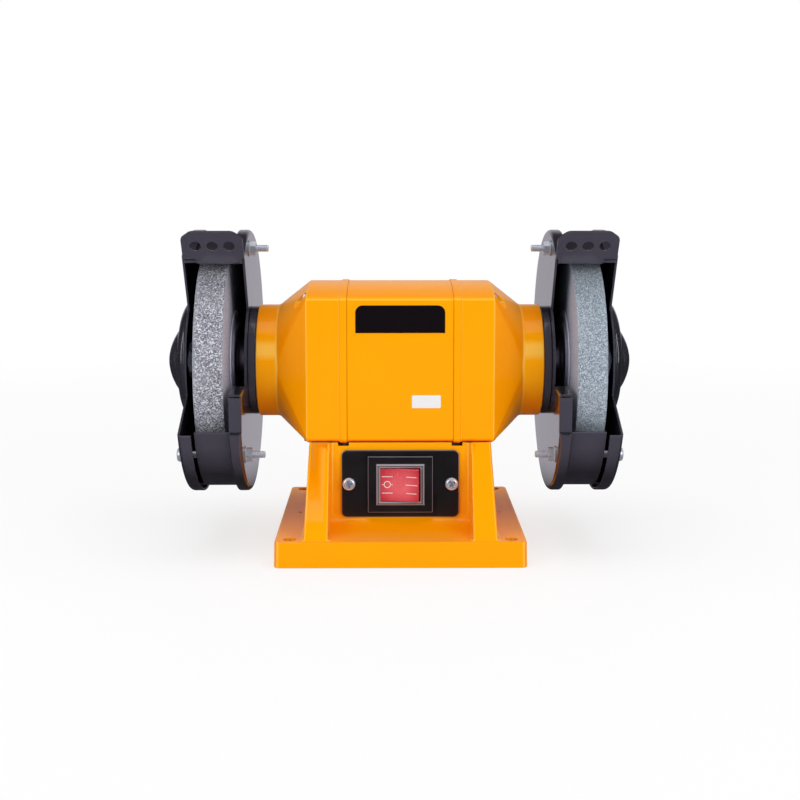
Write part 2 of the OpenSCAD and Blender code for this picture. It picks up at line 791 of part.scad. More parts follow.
// End bell on the +X side; extra deepens the bearing seat for a wave washer
module end_bell(extra) {
    cavity_end = bell_end - bell_wall;
    color([1, 0.62, 0.02])
    difference() {
        union() {
            body_prism(shell_half, collar_w, collar_rise);
            body_prism(shell_half, bell_len);
            hull() {
                body_prism(bell_end - tiny, tiny);
                translate([taper_end - tiny, 0, axis_h]) rotate([0, 90, 0])
                    cylinder(r = neck_r, h = tiny, $fn = 48);
            }
            x_cylinder(neck_r, taper_end - tiny, neck_end);
            x_cylinder(pad_r, neck_end - 1, guard_x);
        }
        x_cylinder(bore_r, shell_half - 1, cavity_end - bell_wall);
        x_turned([
            [cavity_end - bell_wall - tiny, 0], [cavity_end - bell_wall - tiny, bore_r],
            [bearing_x + 1, bearing_od / 2 + 1.5], [bearing_x + 1, 0]
        ]);
        x_cylinder(bearing_od / 2 + fit_gap, bearing_x, bearing_x + bearing_w + extra);
        x_cylinder(bearing_id / 2 + 1, bearing_x, guard_x + 1);
        for (y = [-1, 1], z = [-1, 1]) {
            x_rod([y * tie_y, z * tie_z], tie_d / 2 + bolt_play, shell_half - 1, bell_end);
            x_rod([y * tie_y, z * tie_z], tie_pocket_r, tie_floor_x, guard_x);
        }
        for (a = guard_screw_angles)
            x_rod(guard_screw_circle * ray(a), guard_screw_r,
                guard_x + sheet_t - guard_screw_len, guard_x + 1);
    }
}

module tie_bolts() {
    color([0.75, 0.75, 0.78])
    for (y = [-1, 1], z = [-1, 1]) {
        x_rod([y * tie_y, z * tie_z], tie_d / 2, -tie_floor_x - tie_head_h - 0.6, tie_floor_x);
        x_rod([y * tie_y, z * tie_z], tie_pocket_r - 0.5, tie_floor_x, tie_floor_x + tie_head_h);
    }
}

module tie_nuts() {
    color([0.75, 0.75, 0.78])
    for (y = [-1, 1], z = [-1, 1])
        x_nut([y * tie_y, z * tie_z], 6.6, tie_d / 2 + fit_gap, -tie_floor_x - tie_head_h,
            -tie_floor_x);
}

// Shielded ball bearing on the +X side
module bearing() {
    ri = bearing_id / 2 + fit_gap;
    ro = bearing_od / 2;
    land = 2.6;
    dip = 0.7;
    x0 = bearing_x;
    x1 = bearing_x + bearing_w;
    color([0.7, 0.7, 0.73])
    x_turned([
        [x0, ri], [x0, ri + land], [x0 + dip, ri + land], [x0 + dip, ro - land],
        [x0, ro - land], [x0, ro], [x1, ro], [x1, ro - land], [x1 - dip, ro - land],
        [x1 - dip, ri + land], [x1, ri + land], [x1, ri]
    ]);
}

module wave_washer() {
    x0 = bearing_x + bearing_w;
    color([0.6, 0.6, 0.63])
    difference() {
        x_cylinder(bearing_od / 2 - 0.4, x0, x0 + wave_t);
        x_cylinder(bearing_od / 2 - 3, x0 - 1, x0 + wave_t + 1);
    }
}

// Bare black panel with rounded top corners on the shell's front
module label_panel() {
    w = 48.6;
    low = 20;
    high = 35;
    r = 4;
    y0 = -body_w / 2 - 0.25;
    y1 = -body_w / 2;
    mid = axis_h + (low + high) / 2;
    color([0.03, 0.02, 0.03]) {
        y_box(0, mid, w - 2 * r, high - low, y0, y1);
        y_box(0, mid - r / 2, w, high - low - r, y0, y1);
        for (side = [-1, 1]) y_rod(side * (w / 2 - r), axis_h + high - r, r, y0, y1);
    }
}

module data_sticker() {
    color([0.93, 0.93, 0.93])
    y_box(14.2, axis_h - 17.5, 15.7, 7, -body_w / 2 - 0.15, -body_w / 2);
}

module shaft() {
    shoulder = bearing_x - shoulder_gap;
    chamfer = 1;
    arbor_r = arbor_d / 2;
    color([0.72, 0.72, 0.75])
    x_turned([
        [-shaft_end, 0], [-shaft_end, arbor_r - chamfer], [-shaft_end + chamfer, arbor_r],
        [-hub_x, arbor_r], [-hub_x, bearing_id / 2], [-shoulder, bearing_id / 2],
        [-shoulder, shaft_d / 2], [shoulder, shaft_d / 2], [shoulder, bearing_id / 2],
        [hub_x, bearing_id / 2], [hub_x, arbor_r], [shaft_end - chamfer, arbor_r],
        [shaft_end, arbor_r - chamfer], [shaft_end, 0]
    ]);
}

module rotor_core() {
    color([0.5, 0.5, 0.53])
    difference() {
        x_cylinder(rotor_r, -stack_len / 2, stack_len / 2);
        x_cylinder(shaft_d / 2 + fit_gap, -far / 2, far / 2);
    }
}

module rotor_end_rings() {
    color([0.8, 0.8, 0.82])
    for (side = [0, 1]) mirror([side, 0, 0]) difference() {
        x_cylinder(rotor_r - 1.5, stack_len / 2, stack_len / 2 + end_ring_t);
        x_cylinder(shaft_d / 2 + 3, stack_len / 2 - 1, far / 2);
    }
}

// Flange disc whose clamping face is at x = clamp_x, turned towards dir
module flange_disc(clamp_x, dir) {
    x0 = dir > 0 ? clamp_x - flange_t : clamp_x;
    cut0 = dir > 0 ? clamp_x - flange_recess : clamp_x - 1;
    difference() {
        x_cylinder(flange_d / 2, x0, x0 + flange_t);
        x_cylinder(flange_d / 2 - 8, cut0, cut0 + flange_recess + 1);
        x_cylinder(wheel_bore_r, x0 - 1, x0 + flange_t + 1);
    }
}

module inner_flange() {
    color([0.62, 0.62, 0.65])
    union() {
        flange_disc(wheel_x - blotter_t, 1);
        difference() {
            x_cylinder(flange_hub_r, hub_x, flange_x + 1);
            x_cylinder(wheel_bore_r, hub_x - 1, flange_x + 2);
        }
    }
}

module outer_flange() {
    color([0.62, 0.62, 0.65])
    flange_disc(outer_flange_x, -1);
}

module wheel() {
    color([0.55, 0.56, 0.58])
    difference() {
        x_cylinder(wheel_d / 2, wheel_x, wheel_x + wheel_w);
        x_cylinder(wheel_bore_r, wheel_x - 1, wheel_x + wheel_w + 1);
    }
}

// Two paper discs, one each side of the wheel
module blotters() {
    color([0.75, 0.72, 0.78])
    for (x = [wheel_x - blotter_t, outer_blotter_x]) difference() {
        x_cylinder(blotter_d / 2, x, x + blotter_t);
        x_cylinder(wheel_bore_r + 1, x - 1, x + blotter_t + 1);
    }
}

module arbor_nut() {
    color([0.75, 0.75, 0.78])
    x_nut([0, 0], nut_flats, wheel_bore_r, nut_x, nut_x + nut_h);
}

// Inner guard: a disc with a turned rim, open in front of the wheel
module inner_guard() {
    rim_x = guard_x + inner_rim_w;
    lip_r = band_r + fit_gap;
    hem_out = front_edge / cos(inner_low) - 0.8;
    hem_in = open_r + 0.8;
    hem_w = inner_rim_w - sheet_t / 2;
    front_low = front_edge * tan(open_low);
    front_hem_low = front_low - sheet_t;
    front_hem_top = front_edge * tan(inner_low) + sheet_t + 0.8;
    color([0.05, 0.05, 0.06])
    difference() {
        union() {
            difference() {
                union() {
                    x_cylinder(guard_r, guard_x, guard_x + sheet_t);
                    difference() {
                        x_cylinder(guard_r, guard_x, rim_x);
                        x_cylinder(guard_r - sheet_t, guard_x - 1, rim_x - sheet_t);
                        x_cylinder(lip_r, guard_x - 1, rim_x + 1);
                        wedge(guard_x - 1, rim_x + 1, -open_low, open_top, 1);
                    }
                }
                wedge(guard_x - 1, rim_x + 1, -inner_low, open_top, open_r);
                yz_extrude(guard_x - 1, sheet_t + 2)
                    polygon([
                        [-front_edge, 0], [-far, 0], [-far, -front_low], [-front_edge, -front_low]
                    ]);
            }
            // Hems that stiffen the lower edge of the opening and the front edge
            translate([0, 0, axis_h]) rotate([inner_low, 0, 0])
                translate([guard_x + sheet_t / 2, -hem_out, -sheet_t - 0.1])
                    cube([hem_w, hem_out - hem_in, sheet_t]);
            translate([guard_x + sheet_t / 2, 0.1 - front_edge, axis_h - front_hem_low])
                cube([hem_w, sheet_t, front_hem_low - front_hem_top]);
        }
        x_cylinder(guard_hole_r, guard_x - 1, rim_x);
        for (a = guard_screw_angles)
            x_rod(guard_screw_circle * ray(a), guard_screw_r + bolt_play, guard_x - 1, rim_x);
        for (a = cover_bolt_angles)
            x_rod(cover_bolt_circle * ray(a), cover_bolt_d / 2 + bolt_play, guard_x - 1, rim_x);
    }
}

// Band around the wheel, with the shield bracket at its upper end
module guard_band() {
    x0 = guard_x + sheet_t;
    x1 = cover_x - sheet_t;
    bracket_a = open_top - 2.5;
    bracket_mid = (guard_x + cover_x) / 2 - 1;
    root = 1 + sheet_t / 2;
    color([0.05, 0.05, 0.06])
    difference() {
        union() {
            difference() {
                x_cylinder(band_r, x0, x1);
                x_cylinder(band_r - sheet_t, x0 - 1, x1 + 1);
                wedge(x0 - 1, x1 + 1, -open_low, bracket_a, 1);
                wedge(band_x, x1 + 1, -100, -open_low + 1, 1);
            }
            translate([0, 0, axis_h]) rotate([-bracket_a, 0, 0]) {
                translate([x0 + 0.3, -band_r - 1, 0.1]) cube([band_x - x0, root, sheet_t]);
                translate([bracket_mid - bracket_w / 2, -band_r - bracket_len, 0.1])
                    cube([bracket_w, bracket_len - 0.5, sheet_t]);
            }
        }
        translate([0, 0, axis_h]) rotate([-bracket_a, 0, 0]) {
            for (i = [-1:1])
                translate([bracket_mid + i * bracket_pitch, -band_r - bracket_len / 2 - 1, -1])
                    cylinder(r = bracket_hole_r, h = sheet_t + 2);
            for (side = [-1, 1])
                translate([bracket_mid + side * bracket_w / 2, -band_r - bracket_len, -1])
                    rotate([0, 0, 45]) translate([-4, -4, 0]) cube([8, 8, sheet_t + 2]);
        }
    }
}

// Outline of the outer cover's sheet, from its rim to the apex of the cap
function cap_sphere_r() =
    let (rise = cap_x - cover_x - boss_h - 2.2) (cap_r * cap_r + rise * rise) / (2 * rise);
function cap_pts(shift) = [
    for (i = [0:8])
        let (r = cap_r * (1 - i / 8))
        [cap_x - shift - cap_sphere_r() + sqrt(pow(cap_sphere_r(), 2) - r * r), r]
];
function cover_pts() = concat(
    [
        [outer_rim_x, guard_r], [cover_x - 1.5, guard_r], [cover_x, guard_r - 1.5],
        [cover_x, boss_r], [cover_x + boss_h - 1.5, boss_r - 3], [cover_x + boss_h, boss_r - 6]
    ],
    cap_pts(0),
    backwards(cap_pts(sheet_t)),
    [
        [cover_x + boss_h - sheet_t, boss_r - 7], [cover_x + boss_h - 1.5 - sheet_t, boss_r - 4],
        [cover_x - sheet_t, boss_r - 1], [cover_x - sheet_t, guard_r - sheet_t],
        [outer_rim_x, guard_r - sheet_t]
    ]
);

module outer_cover() {
    color([0.05, 0.05, 0.06])
    difference() {
        x_turned(cover_pts());
        wedge(outer_rim_x - 1, cap_x, -open_low, open_top, open_r);
        for (a = cover_bolt_angles)
            x_rod(cover_bolt_circle * ray(a), cover_bolt_d / 2 + bolt_play, outer_rim_x,
                cover_x + 1);
    }
}

// Screws that hold the inner guard to the end bell
module guard_screws() {
    x0 = guard_x + sheet_t;
    color([0.75, 0.75, 0.78])
    for (a = guard_screw_angles) {
        x_rod(guard_screw_circle * ray(a), guard_screw_head_r, x0, x0 + guard_screw_head_h);
        x_rod(guard_screw_circle * ray(a), guard_screw_r - fit_gap, x0 - guard_screw_len + 1, x0);
    }
}

module cover_bolts() {
    color([0.78, 0.78, 0.8])
    for (a = cover_bolt_angles) {
        x_rod(cover_bolt_circle * ray(a), cover_bolt_head_r, cover_x, cover_x + cover_bolt_head_h);
        x_rod(cover_bolt_circle * ray(a), cover_bolt_d / 2, guard_x - cover_bolt_tail, cover_x);
    }
}

module cover_washers() {
    color([0.78, 0.78, 0.8])
    for (a = cover_bolt_angles) difference() {
        x_rod(cover_bolt_circle * ray(a), washer_r, guard_x - washer_t, guard_x);
        x_rod(cover_bolt_circle * ray(a), cover_bolt_d / 2 + bolt_play, guard_x - 2, guard_x + 1);
    }
}

module cover_nuts() {
    color([0.78, 0.78, 0.8])
    for (a = cover_bolt_angles)
        x_nut(cover_bolt_circle * ray(a), 7, cover_bolt_d / 2 + fit_gap,
            guard_x - washer_t - cover_nut_h, guard_x - washer_t);
}

// Builds its child on the -X side
module left() {
    mirror([1, 0, 0]) children();
}

base_casting();
bottom_cover();
bottom_cover_screws();
motor_screws();
cord_grommet();
switch_plate();
switch_plate_screws();
switch_housing();
switch_frame();
switch_terminals();
rocker();
capacitor();
capacitor_strap();
strap_screw();
motor_leads();
stator_shell();
stator_core();
stator_windings();
left() end_bell(wave_t);  // end_bell_left
end_bell(0);  // end_bell_right
tie_bolts();
tie_nuts();
left() bearing();  // bearing_left
bearing();  // bearing_right
left() wave_washer();
label_panel();
data_sticker();
shaft();
rotor_core();
rotor_end_rings();
left() inner_flange();  // inner_flange_left
inner_flange();  // inner_flange_right
left() wheel();  // wheel_left
wheel();  // wheel_right
left() blotters();  // blotters_left
blotters();  // blotters_right
left() outer_flange();  // outer_flange_left
outer_flange();  // outer_flange_right
left() arbor_nut();  // arbor_nut_left
arbor_nut();  // arbor_nut_right
left() inner_guard();  // inner_guard_left
inner_guard();  // inner_guard_right
left() guard_band();  // guard_band_left
guard_band();  // guard_band_right
left() outer_cover();  // outer_cover_left
outer_cover();  // outer_cover_right
left() guard_screws();  // guard_screws_left
guard_screws();  // guard_screws_right
left() cover_bolts();  // cover_bolts_left
cover_bolts();  // cover_bolts_right
left() cover_washers();  // cover_washers_left
cover_washers();  // cover_washers_right
left() cover_nuts();  // cover_nuts_left
cover_nuts();  // cover_nuts_right
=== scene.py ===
import json
from math import atan, copysign, cos, degrees, pi, radians, sin, sqrt
import bmesh
import bpy
from mathutils import Matrix, Vector

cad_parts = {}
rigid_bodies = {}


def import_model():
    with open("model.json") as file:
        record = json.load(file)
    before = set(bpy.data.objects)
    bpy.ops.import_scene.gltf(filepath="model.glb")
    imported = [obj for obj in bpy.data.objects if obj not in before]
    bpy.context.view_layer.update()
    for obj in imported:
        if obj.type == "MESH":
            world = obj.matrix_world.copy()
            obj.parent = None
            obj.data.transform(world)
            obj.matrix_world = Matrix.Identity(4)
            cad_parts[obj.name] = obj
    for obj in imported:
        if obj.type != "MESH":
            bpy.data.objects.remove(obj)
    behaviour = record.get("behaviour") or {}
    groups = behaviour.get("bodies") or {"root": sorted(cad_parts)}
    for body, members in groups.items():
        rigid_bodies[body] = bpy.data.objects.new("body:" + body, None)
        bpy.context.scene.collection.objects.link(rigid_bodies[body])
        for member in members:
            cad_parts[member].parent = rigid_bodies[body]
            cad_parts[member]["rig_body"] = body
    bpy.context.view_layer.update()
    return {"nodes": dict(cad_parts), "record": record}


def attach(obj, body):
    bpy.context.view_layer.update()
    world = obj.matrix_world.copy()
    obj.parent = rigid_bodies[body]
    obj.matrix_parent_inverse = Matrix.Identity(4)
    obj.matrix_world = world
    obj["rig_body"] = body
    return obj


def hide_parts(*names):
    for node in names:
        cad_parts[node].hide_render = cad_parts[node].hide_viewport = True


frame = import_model()
scene = bpy.context.scene
nodes = frame["nodes"]
slotOf = {part["node"]: part["material_slot"] for part in frame["record"]["subparts"]}
print("frame loaded:", len(nodes), "nodes")

# Shapes are drawn in millimetres. Round shapes are drawn around the shaft and lifted to its height.
millimetre = 0.001
axisZ = 102


# ---- materials

def srgb(red, green, blue):  # 0 to 255, to linear colour
    parts = [c / 255 for c in (red, green, blue)]
    return tuple(c / 12.92 if c < 0.04045 else ((c + 0.055) / 1.055) ** 2.4 for c in parts) + (1,)


class Value:  # a shader socket that takes part in Python arithmetic
    def __init__(self, sheet, socket):
        self.sheet = sheet
        self.socket = socket

    def maths(self, operation, *values):
        made = self.sheet.node("ShaderNodeMath", {"operation": operation}, dict(enumerate(values)))
        return made["Value"]

    def __add__(self, other):
        return self.maths("ADD", self, other)

    def __sub__(self, other):
        return self.maths("SUBTRACT", self, other)

    def __rsub__(self, other):
        return self.maths("SUBTRACT", other, self)

    def __mul__(self, other):
        return self.maths("MULTIPLY", self, other)

    def __truediv__(self, other):
        return self.maths("DIVIDE", self, other)

    def __pow__(self, other):
        return self.maths("POWER", self, other)

    __radd__ = __add__
    __rmul__ = __mul__

    def over(self, low, high):  # 0 below low, 1 above high
        scaled = (self - low) / (high - low)
        return scaled.maths("MINIMUM", scaled.maths("MAXIMUM", scaled, 0), 1)


class Made:  # a node whose outputs are Values
    def __init__(self, sheet, node):
        self.sheet = sheet
        self.node = node

    def __getitem__(self, output):
        return Value(self.sheet, self.node.outputs[output])


class Sheet:  # the shader nodes of one material, or of the world
    def __init__(self, name, owner=None, **constants):
        self.material = owner or bpy.data.materials.new(name)
        self.material.use_nodes = True
        self.tree = self.material.node_tree
        self.shader = self.tree.nodes["Background" if owner else "Principled BSDF"]
        for key, value in constants.items():
            self.shader.inputs[key.replace("_", " ")].default_value = value
        coordinates = self.node("ShaderNodeTexCoord")
        self.place, self.facing = coordinates["Object"], coordinates["Normal"]

    def node(self, kind, settings=None, values=None):
        node = self.tree.nodes.new(kind)
        for key, value in (settings or {}).items():
            if key == "stops":
                ramp = node.color_ramp.elements
                for spot, (position, colour) in enumerate(value):
                    stop = ramp[spot] if spot < 2 else ramp.new(position)
                    stop.position, stop.color = position, colour
            else:
                setattr(node, key, value)
        for key, value in (values or {}).items():
            if isinstance(value, Value):
                self.tree.links.new(value.socket, node.inputs[key])
            else:
                node.inputs[key].default_value = value
        return Made(self, node)

    def feed(self, **links):
        for key, value in links.items():
            self.tree.links.new(value.socket, self.shader.inputs[key.replace("_", " ")])
        return self

    def vector(self, operation, *values):
        return self.node("ShaderNodeVectorMath", {"operation": operation}, dict(enumerate(values)))

    def split(self, vector):
        return self.node("ShaderNodeSeparateXYZ", None, {"Vector": vector})

    def stretched(self, x, y, z):
        return self.node("ShaderNodeMapping", None, {"Vector": self.place, "Scale": (x, y, z)})["Vector"]

    def noise(self, scale, detail=2, roughness=0.5, distortion=0, place=None):
        values = {"Vector": place or self.place, "Scale": scale, "Detail": detail,
                  "Roughness": roughness, "Distortion": distortion}
        return self.node("ShaderNodeTexNoise", None, values)["Fac"]

    def cells(self, scale, output="Distance"):
        return self.node("ShaderNodeTexVoronoi", None, {"Vector": self.place, "Scale": scale})[output]

    def ramp(self, stops, factor):
        return self.node("ShaderNodeValToRGB", {"stops": stops}, {"Fac": factor})["Color"]

    def blend(self, factor, low, high):
        return self.node("ShaderNodeMix", {"data_type": "RGBA"}, {0: factor, 6: low, 7: high})[2]

    def bump(self, height, depth, strength=1, under=None):  # depth in millimetres
        values = {"Height": height, "Distance": depth * millimetre, "Strength": strength}
        if under:
            values["Normal"] = under
        return self.node("ShaderNodeBump", None, values)["Normal"]


def enamel(name, look):
    sheet = Sheet(name, Coat_Weight=look["coat"], Coat_Roughness=look["coatRoughness"],
                  Specular_IOR_Level=look["specular"])
    drift = sheet.noise(look["driftScale"], 3)
    peel = sheet.noise(look["peelScale"], 2, 0.45)
    fine = sheet.noise(look["peelScale"] * 6, 2, 0.6)
    facing = sheet.node("ShaderNodeLayerWeight", None, {"Blend": 0.5})["Facing"]
    # painted shade: surfaces turned away from the view get a darker colour
    colour = sheet.blend(facing.over(*look["slantRange"]), look["colour"], look["slant"])
    # painted reflection and shade: surfaces seen at a grazing angle get a lighter colour on the yellow paint
    # and a darker one on the black
    colour = sheet.blend(facing.over(0.5, 0.85), colour, look["graze"])
    colour = sheet.blend(drift.over(0.3, 0.7) * 0.5, colour, look["shade"])
    colour = sheet.blend(fine.over(0.62, 0.8) * look["speck"], colour, look["speckColour"])
    if "gleam" in look:  # painted highlight: the colour is lighter along rounded edges, upright ones and those above the base
        turn = sheet.split(sheet.facing)
        side, up = turn["X"] * turn["X"], turn["Z"]
        above = sheet.split(sheet.place)["Z"].over(0.058, 0.062)
        lit = side.over(0.02, 0.08) + up.over(0.1, 0.22) * (1 - up.over(0.36, 0.46)) * above
        lit = lit.over(0, 1) * (1 - side.over(0.2, 0.32))
        colour = sheet.blend(lit * look["gleam"], colour, look["gleamColour"])
    rough = look["roughness"] + (drift - 0.5) * 0.08 + (fine - 0.5) * 0.06
    normal = sheet.bump(peel, look["peelDepth"], 1, sheet.bump(fine, look["peelDepth"] / 5))
    return sheet.feed(Base_Color=colour, Roughness=rough, Normal=normal).material


def metal(name, look):
    sheet = Sheet(name, Specular_IOR_Level=0.5)
    lines = sheet.noise(look["lineScale"], 3, 0.6, 0, sheet.stretched(*look["stretch"]))
    stain = sheet.noise(look["stainScale"], 4, 0.6)
    colour = sheet.blend(stain.over(0.35, 0.7), look["colour"], look["shade"])
    rough = look["roughness"] + (lines - 0.5) * 0.16 + (stain - 0.5) * 0.12
    metallic = look.get("lustre", 1) - stain.over(0.6, 0.85) * look.get("film", 0)
    normal = sheet.bump(lines, look["lineDepth"])
    return sheet.feed(Base_Color=colour, Roughness=rough, Metallic=metallic, Normal=normal).material


def moulded(name, look):
    sheet = Sheet(name, Specular_IOR_Level=look.get("specular", 0.5), Coat_Weight=look.get("coat", 0),
                  Transmission_Weight=look.get("through", 0))
    grain = sheet.cells(look["grainScale"])
    cloud = sheet.noise(look["cloudScale"], 3)
    colour = sheet.blend(cloud.over(0.35, 0.65), look["colour"], look["shade"])
    if "edge" in look:  # painted highlight: rounded corners are made lighter, as if they caught more light
        turn = sheet.split(sheet.facing)
        flat = turn["X"] ** 4 + turn["Y"] ** 4 + turn["Z"] ** 4
        colour = sheet.blend((1 - flat).over(0.1, 0.45), colour, look["edge"])
    if "middle" in look:  # painted light: pale in the middle, as if light shone through the thin plastic, with a darker rim
        reach = sheet.vector("DISTANCE", sheet.place, look["middle"])["Value"]
        colour = sheet.blend(reach.over(look["near"], look["far"]), colour, look["rim"])
    rough = look["roughness"] + (cloud - 0.5) * 0.1 + (grain - 0.4) * 0.05
    normal = sheet.bump(grain, look["grainDepth"])
    return sheet.feed(Base_Color=colour, Roughness=rough, Normal=normal).material


def abrasive(name, look):  # a coarse wheel on the left, a fine one on the right
    sheet = Sheet(name, Specular_IOR_Level=0.35)
    side = sheet.split(sheet.place)["X"].over(-0.01, 0.01)
    tones, heights = [], []
    for scale in (look["coarse"], look["fine"]):
        grit = sheet.node("ShaderNodeSeparateColor", None, {"Color": sheet.cells(scale, "Color")})["Red"]
        pores = sheet.noise(scale * 0.6, 3, 0.6)
        tones.append(grit * 0.55 + pores.over(0.3, 0.7) * 0.45)
        heights.append(pores)
    tone = tones[0] * (1 - side) + tones[1] * side
    height = heights[0] * (1 - side) + heights[1] * side
    colour = sheet.blend(side, sheet.ramp(look["coarseTones"], tone), sheet.ramp(look["fineTones"], tone))
    broad = sheet.noise(look["broadScale"], 3, 0.5)
    colour = sheet.blend(broad.over(0.4, 0.7) * 0.25, colour, look["dust"])
    # painted light: the wheel's flat sides are made lighter and bluer than the grinding face
    across = sheet.split(sheet.facing)["X"]
    colour = sheet.blend((across * across).over(0.6, 0.9) * look["flank"], colour, look["flankColour"])
    rough = 0.9 - tone.over(0.75, 0.9) * 0.35
    normal = sheet.bump(height, look["depth"], 0.8)
    return sheet.feed(Base_Color=colour, Roughness=rough, Normal=normal).material


def paper(name, look):
    sheet = Sheet(name, Specular_IOR_Level=look["specular"], Coat_Weight=look.get("coat", 0),
                  Sheen_Weight=look.get("sheen", 0))
    fibre = sheet.noise(look["fibreScale"], 4, 0.65, 0.4)
    cloud = sheet.noise(look["cloudScale"], 2)
    colour = sheet.blend(fibre.over(0.3, 0.7), look["colour"], look["shade"])
    rough = look["roughness"] + (cloud - 0.5) * 0.1
    normal = sheet.bump(fibre, look["fibreDepth"])
    return sheet.feed(Base_Color=colour, Roughness=rough, Normal=normal).material


def laminated(name, look):
    sheet = Sheet(name, Metallic=look["metallic"])
    wave = sheet.node("ShaderNodeTexWave", {"bands_direction": look["bands"]},
                      {"Vector": sheet.place, "Scale": look["scale"], "Distortion": look["wander"]})["Fac"]
    spots = sheet.noise(look["spotScale"], 3)
    colour = sheet.blend(wave, look["colour"], look["shade"])
    rough = look["roughness"] + (spots - 0.5) * 0.2
    normal = sheet.bump(wave, look["depth"])
    return sheet.feed(Base_Color=colour, Roughness=rough, Normal=normal).material


yellowLook = {
    # the slant and graze colours are painted shade and painted sheen, chosen by the view angle
    "colour": srgb(255, 168, 0), "slant": srgb(255, 148, 0), "slantRange": (0.06, 0.36),
    "gleam": 0.6, "gleamColour": srgb(255, 206, 92),
    "graze": srgb(255, 174, 68), "shade": srgb(255, 158, 0),
    "speckColour": srgb(255, 178, 10), "speck": 0.2, "roughness": 0.3, "coat": 0.55,
    "coatRoughness": 0.13, "specular": 0, "driftScale": 14, "peelScale": 260, "peelDepth": 0.04,
}
blackLook = {
    "colour": srgb(69, 67, 79), "slant": srgb(22, 21, 25), "slantRange": (0.3, 0.6),
    "graze": srgb(22, 21, 25), "shade": srgb(62, 60, 71),
    "speckColour": srgb(84, 82, 93), "speck": 0.25, "roughness": 0.24, "coat": 0.9,
    "coatRoughness": 0.06, "specular": 0.2, "driftScale": 22, "peelScale": 420, "peelDepth": 0.004,
}
sheetLook = {"colour": srgb(222, 218, 228), "shade": srgb(196, 192, 204), "roughness": 0.3, "film": 0.5,
             "lineScale": 900, "stretch": (1, 1, 1), "lineDepth": 0.01, "stainScale": 60}
rubberLook = {"colour": srgb(24, 23, 24), "shade": srgb(32, 31, 32), "roughness": 0.7,
              "grainScale": 1500, "grainDepth": 0.03, "cloudScale": 60, "specular": 0.3}
# the edge colours below are painted highlights on rounded corners
plasticLook = {"colour": srgb(22, 20, 23), "shade": srgb(28, 26, 30), "edge": srgb(122, 116, 126),
               "roughness": 0.3, "grainScale": 2200, "grainDepth": 0.02, "cloudScale": 70, "specular": 0.5}
clearLook = {"colour": srgb(92, 89, 94), "shade": srgb(78, 76, 82), "edge": srgb(178, 170, 180),
             "roughness": 0.2, "grainScale": 900, "grainDepth": 0.01, "cloudScale": 90, "coat": 0.6,
             "through": 0.2}
# the middle, near, far and rim values paint a pale middle as if lit through, with a darker rim
redLook = {"colour": srgb(232, 104, 114), "shade": srgb(222, 88, 98), "roughness": 0.25,
           "grainScale": 900, "grainDepth": 0.006, "cloudScale": 80, "coat": 0.6,
           "middle": (0.0004, -0.05, 0.0396), "near": 0.004, "far": 0.0125, "rim": srgb(196, 44, 56)}
whiteLook = {"colour": srgb(236, 232, 230), "shade": srgb(226, 221, 218), "roughness": 0.45,
             "grainScale": 1600, "grainDepth": 0.01, "cloudScale": 90}
leadLook = {"colour": srgb(190, 24, 22), "shade": srgb(168, 18, 17), "roughness": 0.4,
            "grainScale": 1800, "grainDepth": 0.01, "cloudScale": 120}
brassLook = {"colour": srgb(214, 178, 96), "shade": srgb(186, 148, 74), "roughness": 0.3,
             "lineScale": 900, "stretch": (1, 0.1, 1), "lineDepth": 0.01, "stainScale": 160}
castLook = {"colour": srgb(196, 197, 202), "shade": srgb(174, 175, 180), "roughness": 0.5,
            "lineScale": 700, "stretch": (1, 1, 1), "lineDepth": 0.04, "stainScale": 60}
brightLook = {"colour": srgb(203, 203, 207), "shade": srgb(176, 176, 182), "roughness": 0.26,
              "lineScale": 1400, "stretch": (6, 0.4, 0.4), "lineDepth": 0.01, "stainScale": 70}
zincLook = {"colour": srgb(226, 230, 242), "shade": srgb(208, 213, 226), "roughness": 0.3, "lustre": 0.62,
            "lineScale": 1600, "stretch": (1, 1, 1), "lineDepth": 0.008, "stainScale": 240}
grainLook = {
    # the flank values paint the wheel's flat sides lighter
    "flank": 0.45, "flankColour": srgb(182, 191, 218),
    "coarse": 2000, "fine": 2600, "broadScale": 45, "depth": 0.16, "dust": srgb(176, 180, 190),
    "coarseTones": ((0.25, srgb(80, 80, 90)), (0.42, srgb(122, 122, 133)), (0.6, srgb(152, 152, 163)),
                    (0.76, srgb(222, 222, 230))),
    "fineTones": ((0.25, srgb(98, 108, 119)), (0.42, srgb(130, 142, 154)), (0.6, srgb(150, 162, 174)),
                  (0.76, srgb(198, 208, 216))),
}
blotterLook = {"colour": srgb(236, 230, 244), "shade": srgb(218, 211, 230), "roughness": 0.8,
               "specular": 0.3, "fibreScale": 1400, "fibreDepth": 0.03, "cloudScale": 80}
filmLook = {"colour": srgb(14, 9, 12), "shade": srgb(20, 13, 17), "roughness": 0.16, "specular": 0.5,
            "fibreScale": 800, "fibreDepth": 0.003, "cloudScale": 60, "coat": 0.5}
stickerLook = {"colour": srgb(238, 237, 238), "shade": srgb(228, 228, 230), "roughness": 0.45,
               "specular": 0.4, "fibreScale": 1500, "fibreDepth": 0.004, "cloudScale": 60}
stackLook = {"colour": srgb(122, 124, 130), "shade": srgb(84, 86, 92), "metallic": 0.9, "bands": "X",
             "scale": 320, "wander": 0.4, "spotScale": 240, "roughness": 0.45, "depth": 0.05}
copperLook = {"colour": srgb(186, 98, 44), "shade": srgb(120, 52, 20), "metallic": 0.75, "bands": "Z",
              "scale": 300, "wander": 2.5, "spotScale": 300, "roughness": 0.3, "depth": 0.12}
